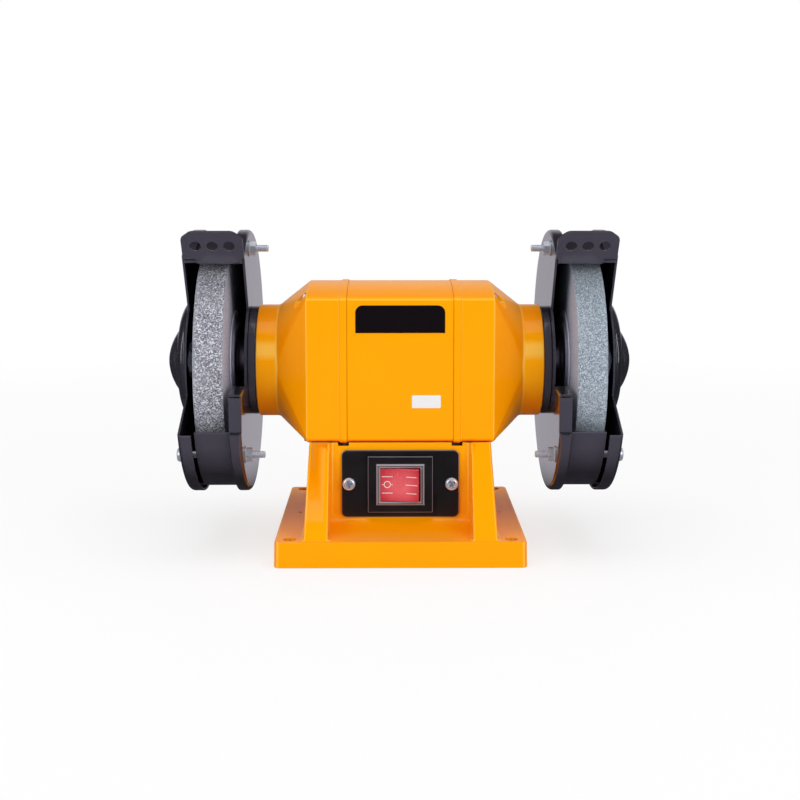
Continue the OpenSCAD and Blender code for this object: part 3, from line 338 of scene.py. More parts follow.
recipes = {
    "yellow_paint": (enamel, yellowLook), "black_paint": (enamel, blackLook),
    "grey_sheet": (metal, sheetLook), "black_rubber": (moulded, rubberLook),
    "black_plastic": (moulded, plasticLook), "clear_plastic": (moulded, clearLook),
    "red_plastic": (moulded, redLook), "white_plastic": (moulded, whiteLook),
    "lead_red": (moulded, leadLook), "brass": (metal, brassLook), "core_steel": (laminated, stackLook),
    "copper_enamel": (laminated, copperLook), "cast_aluminium": (metal, castLook),
    "bright_steel": (metal, brightLook), "zinc": (metal, zincLook), "abrasive": (abrasive, grainLook),
    "blotter_paper": (paper, blotterLook), "label_film": (paper, filmLook),
    "sticker_paper": (paper, stickerLook),
}
finishes = {slot: make(slot, look) for slot, (make, look) in recipes.items()}
for name, node in nodes.items():
    for holder in node.material_slots:
        holder.material = finishes[slotOf[name]]
print("materials made:", len(finishes))


# ---- mesh helpers

def near(value, target, gap=0.05):
    return abs(value - target) < gap


def angled(reach, angle, x=0):  # a point at an angle above the front level, around the shaft
    return Vector((x, -reach * cos(radians(angle)), reach * sin(radians(angle))))


def tidy(bm, distance=0.0005):
    bmesh.ops.remove_doubles(bm, verts=bm.verts, dist=distance)
    bmesh.ops.dissolve_degenerate(bm, edges=bm.edges, dist=distance)


def outward(bm):
    bmesh.ops.recalc_face_normals(bm, faces=bm.faces)


def spun(points, start=0, sweep=360, steps=96, closed=False):  # points are (x, radius)
    bm = bmesh.new()
    verts = [bm.verts.new(angled(radius, start, x)) for x, radius in points]
    edges = [bm.edges.new(pair) for pair in zip(verts, verts[1:])]
    if closed:
        edges.append(bm.edges.new((verts[-1], verts[0])))
    bmesh.ops.spin(bm, geom=verts + edges, cent=(0, 0, 0), axis=(-1, 0, 0),
                   angle=radians(sweep), steps=steps, use_merge=sweep >= 360)
    tidy(bm)
    if closed:
        outward(bm)
    return bm


def joined(*parts):  # several bmeshes as one
    whole = bmesh.new()
    for part in parts:
        mesh = bpy.data.meshes.new("joined")
        part.to_mesh(mesh)
        part.free()
        whole.from_mesh(mesh)
        bpy.data.meshes.remove(mesh)
    return whole


def moved(bm, x=0, y=0, z=0):
    bmesh.ops.translate(bm, vec=(x, y, z), verts=bm.verts)
    return bm


def turned(bm, angle, axis):
    bmesh.ops.rotate(bm, cent=(0, 0, 0), matrix=Matrix.Rotation(radians(angle), 3, axis), verts=bm.verts)
    return bm


def along(bm, direction, spot):  # turns a shape drawn along +Z and puts it at a spot
    turn = Vector((0, 0, 1)).rotation_difference(Vector(direction)).to_matrix()
    bmesh.ops.rotate(bm, cent=(0, 0, 0), matrix=turn, verts=bm.verts)
    return moved(bm, *spot)


def middle(edge):
    return (edge.verts[0].co + edge.verts[1].co) / 2


def sharpEdges(bm, least=25, test=None):
    return [e for e in bm.edges if len(e.link_faces) == 2
            and e.calc_face_angle(0) > radians(least) and (test is None or test(middle(e)))]


def bevelled(bm, edges, width, segments, clamp=False):
    bmesh.ops.bevel(bm, geom=edges, offset=width, segments=segments, profile=0.5,
                    affect="EDGES", clamp_overlap=clamp, material=-1)
    return bm


def rounded(bm, width, segments=2, least=25, test=None):
    return bevelled(bm, sharpEdges(bm, least, test), width, segments, clamp=True)


def uprightBevel(bm, axis, width, segments=6, test=None):  # rounds the edges that run along one axis
    others = [i for i in range(3) if i != axis]
    edges = [e for e in bm.edges if all(near(e.verts[0].co[i], e.verts[1].co[i]) for i in others)
             and (test is None or test(middle(e)))]
    return bevelled(bm, edges, width, segments)


def block(width, depth, height, x=0, y=0, z=0):
    bm = bmesh.new()
    bmesh.ops.create_cube(bm, size=1)
    bmesh.ops.scale(bm, vec=(width, depth, height), verts=bm.verts)
    return moved(bm, x, y, z)


def slab(x0, x1, y0, y1, z0, z1):
    return block(x1 - x0, y1 - y0, z1 - z0, (x0 + x1) / 2, (y0 + y1) / 2, (z0 + z1) / 2)


def rod(r, length, chamfer=0.3, segments=28):  # standing on z = 0
    bm = bmesh.new()
    bmesh.ops.create_cone(bm, cap_ends=True, segments=segments, radius1=r, radius2=r, depth=length)
    moved(bm, 0, 0, length / 2)
    return rounded(bm, chamfer, 1, 60) if chamfer else bm


def loop(bm, points):  # a closed line
    verts = [bm.verts.new(point) for point in points]
    return [bm.edges.new((verts[i - 1], verts[i])) for i in range(len(verts))]


def ring(bm, radius, spot=(0, 0, 0), segments=32, turn=0):  # a circle, turned about Y
    place = Matrix.Translation(spot) @ Matrix.Rotation(turn, 4, "Y")
    verts = bmesh.ops.create_circle(bm, segments=segments, radius=radius, matrix=place)["verts"]
    return list({e for v in verts for e in v.link_edges})


def bridge(bm, *rings):
    for first, second in zip(rings, rings[1:]):
        bmesh.ops.bridge_loops(bm, edges=first + second)


def vertsIn(geom):
    return [g for g in geom if isinstance(g, bmesh.types.BMVert)]


def extruded(bm, edges):  # the new vertices and the new edges between them
    geom = bmesh.ops.extrude_edge_only(bm, edges=edges)["geom"]
    verts = vertsIn(geom)
    return verts, [g for g in geom if isinstance(g, bmesh.types.BMEdge) and all(v in verts for v in g.verts)]


def carried(bm, edges, offsets):  # extrudes open edges through a list of offsets
    last = Vector((0, 0, 0))
    for spot in offsets:
        verts, edges = extruded(bm, edges)
        bmesh.ops.translate(bm, vec=spot - last, verts=verts)
        last = spot


def fold(first, second, bend, steps):  # offsets that turn from one direction into another
    turns = [radians(90 * step / steps) for step in range(1, steps + 1)]
    return [first * (bend * sin(a)) + second * (bend * (1 - cos(a))) for a in turns]


def raised(bm, faces, height):
    grown = bmesh.ops.extrude_face_region(bm, geom=faces)["geom"]
    bmesh.ops.translate(bm, vec=(0, 0, height), verts=vertsIn(grown))


def sliced(bm, point, normal, clear=False):
    bmesh.ops.bisect_plane(bm, geom=bm.verts[:] + bm.edges[:] + bm.faces[:], dist=0.001,
                           plane_co=point, plane_no=normal, clear_outer=clear)


def meshed(bm, name, lift=0):
    if lift:
        moved(bm, 0, 0, lift)
    bmesh.ops.scale(bm, vec=(millimetre,) * 3, verts=bm.verts)
    mesh = bpy.data.meshes.new(name)
    bm.to_mesh(mesh)
    bm.free()
    return mesh


def modified(mesh, *modifiers):
    if not modifiers:
        return mesh
    holder = bpy.data.objects.new("holder", mesh)
    scene.collection.objects.link(holder)
    for kind, settings in modifiers:
        change = holder.modifiers.new(kind.title(), kind)
        for key, value in settings.items():
            setattr(change, key, value)
    bpy.context.view_layer.update()
    graph = bpy.context.evaluated_depsgraph_get()
    result = bpy.data.meshes.new_from_object(holder.evaluated_get(graph))
    bpy.data.objects.remove(holder)
    return result


def cut(mesh, cutter, operation="DIFFERENCE"):  # both closed and already in place
    mesh, cutter = (meshed(shape, "part") if isinstance(shape, bmesh.types.BMesh) else shape
                    for shape in (mesh, cutter))
    tool = bpy.data.objects.new("tool", cutter)
    scene.collection.objects.link(tool)
    result = modified(mesh, ("BOOLEAN", {"object": tool, "operation": operation, "solver": "EXACT"}))
    bpy.data.objects.remove(tool)
    return result


def softened(bm, name, radiusOf, widest, segments, least, lift=0, clamp=True):
    # rounds each sharp edge by the radius that radiusOf gives for it
    weight = bm.edges.layers.float.new("bevel_weight_edge")
    for e in sharpEdges(bm, least):
        e[weight] = radiusOf(e) / widest
    settings = {"width": widest * millimetre, "segments": segments, "limit_method": "WEIGHT",
                "harden_normals": False, "miter_outer": "MITER_SHARP", "use_clamp_overlap": clamp}
    return modified(meshed(bm, name, lift), ("BEVEL", settings))


def sheetMetal(thickness, edge):  # gives a skin its wall and rounds the wall's edges
    return [("SOLIDIFY", {"thickness": thickness * millimetre, "offset": -1, "use_even_offset": True}),
            ("BEVEL", {"width": edge * millimetre, "segments": 2, "limit_method": "ANGLE",
                       "angle_limit": radians(50), "harden_normals": False})]


def place(name, mesh, node, slot=None, replaces=True, smooth=35, modifiers=()):
    slot = slot or slotOf[node]
    mesh = modified(mesh, *modifiers)
    mesh.shade_smooth()
    mesh.set_sharp_from_angle(angle=radians(smooth))
    mesh = modified(mesh, ("WEIGHTED_NORMAL", {"keep_sharp": True}))
    mesh.materials.clear()
    mesh.materials.append(finishes[slot])
    mesh.name = name
    piece = bpy.data.objects.new(name, mesh)
    scene.collection.objects.link(piece)
    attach(piece, nodes[node]["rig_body"])
    if replaces:
        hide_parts(node)


def placeBoth(name, mesh, node, **options):  # the mesh is drawn on the +X side
    other = mesh.copy()
    other.transform(Matrix.Scale(-1, 4, (1, 0, 0)))
    other.flip_normals()
    place(name + "Right", mesh, node + "_right", **options)
    place(name + "Left", other, node + "_left", **options)


# ---- motor body

bodyData = {
    "width": 90, "height": 90.8, "archRise": 6.1, "edgeR": 2.5, "shellHalf": 28.8, "collarW": 4.4,
    "collarRise": 0.6, "bellEnd": 51, "taperEnd": 68.2, "neckR": 31.8, "neckEnd": 79.9, "padR": 31,
    "padEnd": 84.3, "padBore": 9.6, "tieY": 36.5, "tieZ": 36.9, "pocketR": 4.25, "pocketFloor": 50,
    "foldR": 0.6, "neckFoldR": 1.2, "neckRimR": 0.96, "cornerSteps": 6, "archSteps": 14,
}
quarters = [(sy, sz) for sy in (-1, 1) for sz in (-1, 1)]


def bodySection(bm, x, grow=0):  # one closed ring of the body's outline
    d = bodyData
    half, rise, r = d["width"] / 2, d["archRise"], d["edgeR"]
    archR = (half ** 2 + rise ** 2) / (2 * rise)
    archZ = d["height"] / 2 - archR
    cy = half - r
    cz = archZ + sqrt((archR - r) ** 2 - cy ** 2)
    bend = pi / 2 - Vector((cz - archZ, cy)).angle(Vector((1, 0)))
    quarter = []
    for step in range(d["cornerSteps"] + 1):
        a = bend * step / d["cornerSteps"]
        quarter.append((cy + (r + grow) * cos(a), cz + (r + grow) * sin(a)))
    for step in range(1, d["archSteps"] + 1):
        a = bend + (pi / 2 - bend) * step / d["archSteps"]
        quarter.append(((archR + grow) * cos(a), archZ + (archR + grow) * sin(a)))
    top = quarter + [(-y, z) for y, z in reversed(quarter[:-1])]
    return loop(bm, [(x, y, z) for y, z in top] + [(x, -y, -z) for y, z in top])


def bodyPrism(x0, x1, grow=0):
    bm = bmesh.new()
    bridge(bm, *[bodySection(bm, x, grow) for x in (x0, x1)])
    bmesh.ops.holes_fill(bm, edges=bm.edges)
    outward(bm)
    return bm


def bellRounding(e):
    d = bodyData
    x = middle(e).x
    if near(x, d["bellEnd"], 0.1):
        return d["foldR"]
    if near(x, d["taperEnd"], 0.1):
        return d["neckFoldR"]
    return d["neckRimR"] if x > d["taperEnd"] + 1 else 0


def bell():
    d = bodyData
    bm = bmesh.new()
    collarIn, collarOut = d["shellHalf"], d["shellHalf"] + d["collarW"]
    rise = d["collarRise"]
    stations = [(collarIn + 0.15, 0), (collarIn + 0.15, rise - 0.3), (collarIn + 0.5, rise),
                (collarOut - 0.5, rise), (collarOut, 0.1), (collarOut + 0.35, 0), (d["bellEnd"], 0)]
    rings = [bodySection(bm, x, grow) for x, grow in stations]
    bridge(bm, *rings)
    bmesh.ops.holes_fill(bm, edges=rings[0])
    # the taper is the hull between the body's outline and the neck
    taper, neck = bmesh.new(), bmesh.new()
    bodySection(taper, d["bellEnd"])
    circles = [ring(shape, d["neckR"], (d["taperEnd"], 0, 0), 96, pi / 2) for shape in (taper, neck)]
    bmesh.ops.convex_hull(taper, input=taper.verts)
    bmesh.ops.dissolve_limit(taper, angle_limit=radians(0.3), verts=taper.verts, edges=taper.edges)
    caps = [f for f in taper.faces if abs(f.normal.x) > 0.999]
    bmesh.ops.delete(taper, geom=caps, context="FACES_ONLY")
    verts, edges = extruded(neck, circles[1])
    bmesh.ops.translate(neck, vec=(d["neckEnd"] - d["taperEnd"], 0, 0), verts=verts)
    bmesh.ops.holes_fill(neck, edges=edges)
    bm = joined(bm, taper, neck)
    tidy(bm, 0.01)
    outward(bm)
    mesh = softened(bm, "bell", bellRounding, d["neckFoldR"], 4, 20, axisZ)
    pockets = [along(rod(d["pocketR"], 30, 0, 40), (1, 0, 0),
                     (d["pocketFloor"], sy * d["tieY"], sz * d["tieZ"] + axisZ)) for sy, sz in quarters]
    return cut(mesh, joined(*pockets))


def guardSeat():  # the bell's pad between the bell and the guard, drawn as a black ring: painted shade for the dark gap
    d = bodyData
    x0, x1, r, bore = d["neckEnd"] + 0.05, d["padEnd"], d["padR"], d["padBore"]
    profile = [(x0, bore), (x0, r - 0.5), (x0 + 0.5, r), (x1 - 0.4, r), (x1, r - 0.4), (x1, bore)]
    return meshed(spun(profile, closed=True), "guardSeat", axisZ)


place("statorShell", meshed(bodyPrism(-bodyData["shellHalf"], bodyData["shellHalf"]), "shell", axisZ),
      "stator_shell")
placeBoth("endBell", bell(), "end_bell")
# painted shade: the pad gets black paint so that the gap between bell and guard is dark
placeBoth("guardSeat", guardSeat(), "end_bell", slot="black_paint", replaces=False)
print("motor body made")


# ---- base casting

baseData = {
    "half": 66.9, "front": 74.5, "back": 63, "height": 14, "cornerR": 3, "draft": 0.3, "wall": 4,
    "footHalf": 51.7, "topHalf": 49.5, "topZ": 62.1, "panelY": 46, "columnX": 38.5, "columnBack": 0.9,
    "sweep": 9, "sweepDeep": 25, "fillet": 2.6,
    "saddleHalf": 70, "saddleGap": 1, "notchGap": 3, "notchHalf": 3,
    "underR": 0.5, "columnFootR": 0.3, "rootR": 2, "rimR": 0.5, "columnR": 0.9, "outerR": 1.4,
    "holeX": 59, "holeFront": 68, "holeBack": 56.5, "holeR": 3.5, "bossR": 6.2, "bossLift": 0.2,
    "windowW": 26.2, "windowH": 23.9, "windowZ": 39.6,
    "coverHoleX": 56.85, "coverHoleY": -5.5, "coverHoleR": 1.5,
}


def sweepStuff():  # what fills the corner between panel and ledge, down to an oval bar
    d = baseData
    half, deep, r = d["columnX"] + 0.2, d["sweepDeep"], d["sweep"]
    y, z = -d["panelY"] - deep, d["height"] + r
    bar = turned(moved(rod(r, 2 * half + 10, 0, 96), 0, 0, -half - 5), 90, "Y")
    bmesh.ops.scale(bar, vec=(1, deep / r, 1), verts=bar.verts)
    return cut(slab(-half, half, y, y + deep + 1, z - r - 1, z), moved(bar, 0, y, z))


def filletStuff(side):  # what fills the corner between panel and column, up to a round bar
    d = baseData
    r, top = d["fillet"], d["topZ"]
    x, y = side * (d["columnX"] - r), -d["panelY"] - r
    bar = moved(rod(r, top + 10, 0, 96), x, y, -5)
    return cut(slab(min(x, x + side * (r + 1)), max(x, x + side * (r + 1)), y, y + r + 1, 10, top), bar)


def baseRounding(e):
    d = baseData
    m = middle(e)
    across = abs(m.x)
    if all(near(v.co.z, 0) for v in e.verts):
        return d["underR"]
    if m.z < d["height"] - 0.5 or near(m.z, d["topZ"]):
        return 0
    if all(near(v.co.z, d["height"]) for v in e.verts):
        if near(m.y, -d["panelY"]) and across < d["columnX"]:
            return 0
        if across < d["footHalf"] + 0.1 and near(m.y, d["columnBack"] - d["front"]):
            return d["columnFootR"]
        root = near(across, d["footHalf"]) or near(m.y, d["panelY"]) or near(across, d["columnX"])
        return d["rootR"] if root else d["rimR"]
    if near(across, d["columnX"]):
        return 0 if all(near(v.co.y, -d["panelY"]) for v in e.verts) else d["columnR"]
    return d["outerR"]


def baseBlock():  # the plate and the pedestal with its two sloping columns
    d = baseData
    bm = uprightBevel(slab(-d["half"], d["half"], -d["front"], d["back"], 0, d["height"]), 2, d["cornerR"])
    for v in bm.verts:
        if v.co.z < 1:
            v.co.x *= 1 + d["draft"] / d["half"]
    columnFoot = d["front"] - d["columnBack"]
    for x in (-d["footHalf"], -d["columnX"], d["columnX"], d["footHalf"]):
        sliced(bm, (x, 0, 0), (1, 0, 0))
    for y in (-columnFoot, -d["panelY"], d["panelY"]):
        sliced(bm, (0, y, 0), (0, 1, 0))
    foot = [f for f in bm.faces if f.normal.z > 0.9 and abs(f.calc_center_median().x) < d["footHalf"]
            and abs(f.calc_center_median().y) < d["panelY"]]
    rise = bmesh.ops.extrude_face_region(bm, geom=foot)["geom"]
    bmesh.ops.delete(bm, geom=foot, context="FACES_ONLY")
    for v in vertsIn(rise):
        v.co.z = d["topZ"]
        if near(abs(v.co.x), d["footHalf"]):
            v.co.x *= d["topHalf"] / d["footHalf"]

    def inStrip(face, side):  # a strip of the ledge or of the panel, in front of which a column stands
        c = face.calc_center_median()
        ledge = face.normal.z > 0.9 and near(c.z, d["height"]) and -columnFoot < c.y < -d["panelY"]
        panel = face.normal.y < -0.9 and c.z > d["height"] + 1
        return d["columnX"] < side * c.x < d["footHalf"] and (ledge or panel)

    for side in (-1, 1):
        strip = [f for f in bm.faces if inStrip(f, side)]
        bmesh.ops.delete(bm, geom=strip, context="FACES")

        def corner(x, y, z):
            spot = Vector((side * x, y, z))
            return min(bm.verts, key=lambda v: (v.co - spot).length)

        outFoot, inFoot = (corner(x, -columnFoot, d["height"]) for x in (d["footHalf"], d["columnX"]))
        outRoot, inRoot = (corner(x, -d["panelY"], d["height"]) for x in (d["footHalf"], d["columnX"]))
        outTop, inTop = (corner(x, -d["panelY"], d["topZ"]) for x in (d["topHalf"], d["columnX"]))
        for face in ((outFoot, inFoot, inTop, outTop), (outFoot, outTop, outRoot), (inFoot, inRoot, inTop)):
            bmesh.ops.contextual_create(bm, geom=list(face))
    outward(bm)
    return bm


def base():
    d = baseData
    wall, height = d["wall"], d["height"]
    mesh = softened(baseBlock(), "base", baseRounding, d["rootR"], 5, 12, clamp=False)
    for stuff in (sweepStuff(), filletStuff(-1), filletStuff(1)):
        mesh = cut(mesh, stuff, "UNION")
    # the motor's saddle, with notches for its collars
    saddles = [bodyPrism(-d["saddleHalf"], d["saddleHalf"], d["saddleGap"])]
    for side in (-1, 1):
        collar = side * (bodyData["shellHalf"] + bodyData["collarW"] / 2)
        saddles.append(bodyPrism(collar - d["notchHalf"], collar + d["notchHalf"], d["notchGap"]))
    for saddle in saddles:
        mesh = cut(mesh, moved(saddle, 0, 0, axisZ))
    # hollow skirt and hollow pedestal
    under = slab(wall - d["half"], d["half"] - wall, wall - d["front"], d["back"] - wall, -5, height - wall)
    mesh = cut(mesh, uprightBevel(under, 2, 2))
    inside = slab(wall - d["footHalf"], d["footHalf"] - wall, wall - d["panelY"], d["panelY"] - wall,
                  9, d["topZ"])
    for v in inside.verts:
        if v.co.z > 20:
            v.co.x *= (d["topHalf"] - wall) / (d["footHalf"] - wall)
    roof = bodyPrism(-d["saddleHalf"], d["saddleHalf"], d["saddleGap"] + wall)
    mesh = cut(mesh, cut(inside, moved(roof, 0, 0, axisZ)))
    mesh = cut(mesh, slab(-d["windowW"] / 2, d["windowW"] / 2, -d["panelY"] - 5, wall + 1 - d["panelY"],
                          d["windowZ"] - d["windowH"] / 2, d["windowZ"] + d["windowH"] / 2))
    bench = [(side * d["holeX"], y) for side in (-1, 1) for y in (-d["holeFront"], d["holeBack"])]
    bosses = [moved(rod(d["bossR"], height - 1 - d["bossLift"], 0, 48), x, y, d["bossLift"])
              for x, y in bench]
    mesh = cut(mesh, joined(*bosses), "UNION")
    holes = [(x, y, d["holeR"]) for x, y in bench]
    holes += [(side * d["coverHoleX"], d["coverHoleY"], d["coverHoleR"]) for side in (-1, 1)]
    return cut(mesh, joined(*[moved(rod(r, 40, 0, 36), x, y, height - 20) for x, y, r in holes]))


place("baseCasting", base(), "base_casting")
print("base made")


# ---- fasteners

# shares of radius and height
headSteps = ((0.96, 0), (1, 0.12), (1, 0.45), (0.95, 0.72), (0.84, 0.9), (0.66, 1))


def panHead(r, h):  # a pan head with a cross recess, standing on z = 0
    bm = bmesh.new()
    rings = [ring(bm, share * r, (0, 0, rise * h)) for share, rise in headSteps]
    bridge(bm, *rings)
    bmesh.ops.holes_fill(bm, edges=rings[0])
    reach, half = 0.6 * r, 0.16 * r
    points, arm = [], [(reach, -half), (reach, half), (half, half)]
    for quarter in range(4):
        points += [(x, y, h) for x, y in arm]
        arm = [(-y, x) for x, y in arm]
    cross = loop(bm, points)
    bmesh.ops.triangle_fill(bm, use_beauty=True, edges=cross + rings[-1], normal=(0, 0, 1))
    corners = {v for e in cross for v in e.verts}

    def inCross(spot):
        x, y = abs(spot.x), abs(spot.y)
        return x < reach and y < half or y < reach and x < half

    inside = [f for f in bm.faces if all(v in corners for v in f.verts) and inCross(f.calc_center_median())]
    bmesh.ops.delete(bm, geom=inside, context="FACES_ONLY")
    verts, edges = extruded(bm, cross)
    bmesh.ops.translate(bm, vec=(0, 0, -0.85 * h), verts=verts)
    bmesh.ops.scale(bm, vec=(0.8, 0.8, 1), verts=verts)
    bmesh.ops.triangle_fill(bm, use_beauty=True, edges=edges, normal=(0, 0, 1))
    outward(bm)
    return bm


def thread(r, pitch, z0, z1, depth, steps=20):  # a screwed ridge around +Z
    bm = bmesh.new()
    profile = [(r - depth, 0.04), (r, 0.42), (r, 0.58), (r - depth, 0.96)]
    face = bm.faces.new([bm.verts.new((x, 0, z0 + share * pitch)) for x, share in profile])
    count = int(((z1 - z0) / pitch - 1) * steps)
    bmesh.ops.spin(bm, geom=[face], cent=(0, 0, 0), axis=(0, 0, 1), dvec=(0, 0, pitch / steps),
                   angle=radians(360 * count / steps), steps=count)
    outward(bm)
    return bm


def nut(flats, h, bore):  # a hexagon nut with turned corners, standing on z = 0
    bm = bmesh.new()
    flat, lead, segments = flats / 2, 0.35, 72

    def circle(r, z):
        return ring(bm, r, (0, 0, z), segments)

    def hexagon(z, way):
        edges = circle(1, z)
        for v in {v for e in edges for v in e.verts}:
            angle = Vector((v.co.x, v.co.y)).angle_signed(Vector((1, 0))) % (pi / 3) - pi / 6
            reach = flat / cos(angle)
            v.co = (v.co.x * reach, v.co.y * reach, z + way * (reach - flat) * 0.55)
        return edges

    rings = [circle(bore, 0.3), circle(bore + lead, 0), circle(flat * 0.97, 0), hexagon(0, 1),
             hexagon(h, -1), circle(flat * 0.97, h), circle(bore + lead, h), circle(bore, h - 0.3)]
    bridge(bm, *rings, rings[0])
    outward(bm)
    return bm


def washer(r, bore, h):
    bm = bmesh.new()
    bridge(bm, ring(bm, bore, segments=40), ring(bm, r, segments=40))
    raised(bm, bm.faces[:], h)
    outward(bm)
    return rounded(bm, 0.15, 1, 60)


# ---- wheels, flanges and nuts

rotorData = {
    "hubX": 88, "hubR": 11, "flangeX": 91.2, "flangeR": 25.5, "wheelX": 94.2, "wheelW": 16, "wheelR": 62.5,
    "wheelEdge": 0.7, "boreR": 6.38, "blotterR": 28.5, "blotterT": 0.6, "outerFlangeX": 110.8,
    "nutX": 113.2, "nutH": 7, "nutFlats": 19,
    "threadR": 6.35, "threadPitch": 1.27, "threadStart": 104.2, "threadEnd": 122.2, "threadDepth": 0.62,
}
shaftSteps = [(0, 9), (54.6, 9), (54.9, 8.7), (54.9, 7.5), (87.6, 7.5), (88, 7.1), (88, 6.35),
              (104, 6.35), (104.5, 5.75), (121.6, 5.75), (122.8, 4.6), (122.8, 0)]


def lathed(name, profile, steps=96):
    return meshed(spun(profile, steps=steps, closed=True), name, axisZ)


def wheel():
    d = rotorData
    x0, x1, r, edge, bore = d["wheelX"], d["wheelX"] + d["wheelW"], d["wheelR"], d["wheelEdge"], d["boreR"]
    flank = [(x0, bore), (x0, 20), (x0, 40), (x0, r - edge), (x0 + 0.25 * edge, r - 0.25 * edge),
             (x0 + edge, r), (x0 + 5, r)]
    return lathed("wheel", flank + [(x0 + x1 - x, radius) for x, radius in reversed(flank)], 160)


def blotters():
    d = rotorData
    r, bore, parts = d["blotterR"], d["boreR"] + 1, []
    for x0 in (d["wheelX"] - d["blotterT"], d["wheelX"] + d["wheelW"]):
        x1 = x0 + d["blotterT"]
        profile = [(x0, bore), (x0, r - 0.1), (x0 + 0.1, r), (x1 - 0.1, r), (x1, r - 0.1), (x1, bore)]
        parts.append(spun(profile, closed=True))
    return meshed(joined(*parts), "blotters", axisZ)


def innerFlange():
    d = rotorData
    x0, x1, x2, r, hub = d["hubX"], d["flangeX"], d["wheelX"] - d["blotterT"], d["flangeR"], d["hubR"]
    return lathed("innerFlange", [
        (x0, d["boreR"]), (x0, hub - 0.5), (x0 + 0.5, hub), (x1 - 1, hub), (x1 - 0.3, hub + 0.4),
        (x1, hub + 1.2), (x1, r - 3), (x1 + 0.6, r - 0.6), (x1 + 1, r), (x2, r), (x2, r - 8),
        (x2 - 1, r - 8.5), (x2 - 1, d["boreR"])])


def outerFlange():
    d = rotorData
    x0, x1, r = d["outerFlangeX"], d["nutX"], d["flangeR"]
    return lathed("outerFlange", [(x1, d["boreR"]), (x1, r - 6), (x1 - 0.5, r - 1.2), (x1 - 1.2, r), (x0, r),
                                  (x0, r - 8), (x0 + 1, r - 8.5), (x0 + 1, d["boreR"])])


def arborNut():
    d = rotorData
    bm = along(nut(d["nutFlats"], d["nutH"], d["boreR"]), (1, 0, 0), (d["nutX"], 0, 0))
    return meshed(bm, "arborNut", axisZ)


def shaft():
    d = rotorData
    screwed = thread(d["threadR"], d["threadPitch"], d["threadStart"], d["threadEnd"], d["threadDepth"], 36)
    ridge = turned(screwed, 90, "Y")
    whole = joined(spun(shaftSteps, steps=64), ridge)
    bmesh.ops.mirror(whole, geom=whole.verts[:] + whole.edges[:] + whole.faces[:], axis="X", merge_dist=0.001)
    tidy(whole)
    outward(whole)
    return meshed(whole, "shaft", axisZ)


placeBoth("wheel", wheel(), "wheel")
placeBoth("blotters", blotters(), "blotters")
placeBoth("innerFlange", innerFlange(), "inner_flange")
placeBoth("outerFlange", outerFlange(), "outer_flange")
placeBoth("arborNut", arborNut(), "arbor_nut")
place("shaft", shaft(), "shaft", smooth=30)
print("rotor made")


# ---- wheel guards

guardData = {
    "rimR": 74.5, "innerX": 84.3, "innerRimX": 91, "innerRimBend": 0.9, "lipR": 71.55, "bend": 2.4,
    "coverX": 118.3, "coverRimX": 110.9, "openTop": 57.5, "openLow": 26, "openR": 36, "hubHole": 12,
    "hemY": -35, "hemZ": -8.5, "hemDip": 4.8, "hemBend": 1.6, "frontY": -65, "frontLow": -31.5,
    "bandR": 71.5, "bandX0": 85.5, "bandX1": 117.1, "bandCut": 109.7, "bandMid": 91.3, "bandTop": 55,
    "tabBend": 1.4, "bracketMid": 100.3, "bracketW": 33, "bracketFoot": 3.4, "bracketR": 93.2,
    "chamfer": 4.2, "cornerR": 1.6, "holeR": 3, "holePitch": 9, "holeReach": 83.6,
}
bossSteps = [(118.75, 34.9), (119.5, 34), (120.4, 33), (121.7, 31), (122.7, 28.9), (123.5, 26.6),
             (124, 24.4), (124.4, 22), (124.8, 19.8), (125.2, 18.6), (125.9, 17.4), (126.8, 16.1),
             (127.7, 14.7), (128.9, 12.4), (129.9, 10.2), (130.8, 7.6), (131.5, 4.8), (131.9, 2.2),
             (132, 0)]


def bendPoints(x, r, size, start, end, steps=6):  # an arc in the (x, radius) plane, angles in degrees
    turns = [radians(start + (end - start) * i / steps) for i in range(steps + 1)]
    return [(x + size * cos(a), r + size * sin(a)) for a in turns]


def faceOut(bm, direction, test):  # turns the skin so that its chosen faces look that way
    chosen = [f for f in bm.faces if test(f.calc_center_median())]
    if sum(f.normal.dot(Vector(direction)) for f in chosen) < 0:
        bmesh.ops.reverse_faces(bm, faces=bm.faces[:])


def outerCover():
    d = guardData
    x, bend = d["coverX"], d["bend"]
    profile = [(d["coverRimX"], d["rimR"]), (d["coverRimX"] + 2.5, d["rimR"])]
    profile += bendPoints(x - bend, d["rimR"] - bend, bend, 90, 0)
    core = [(x, d["openR"])] + bossSteps
    profile += [(x, 66), (x, 55), (x, 45), (x, 39)] + core
    low, high = -d["openLow"], d["openTop"]
    bm = joined(spun(profile, high, 360 - (high - low), 132), spun(core, low, high - low, 40))
    tidy(bm, 0.01)
    outward(bm)
    faceOut(bm, (1, 0, 0), lambda c: c.x > x - 0.5)
    return meshed(bm, "outerCover", axisZ)


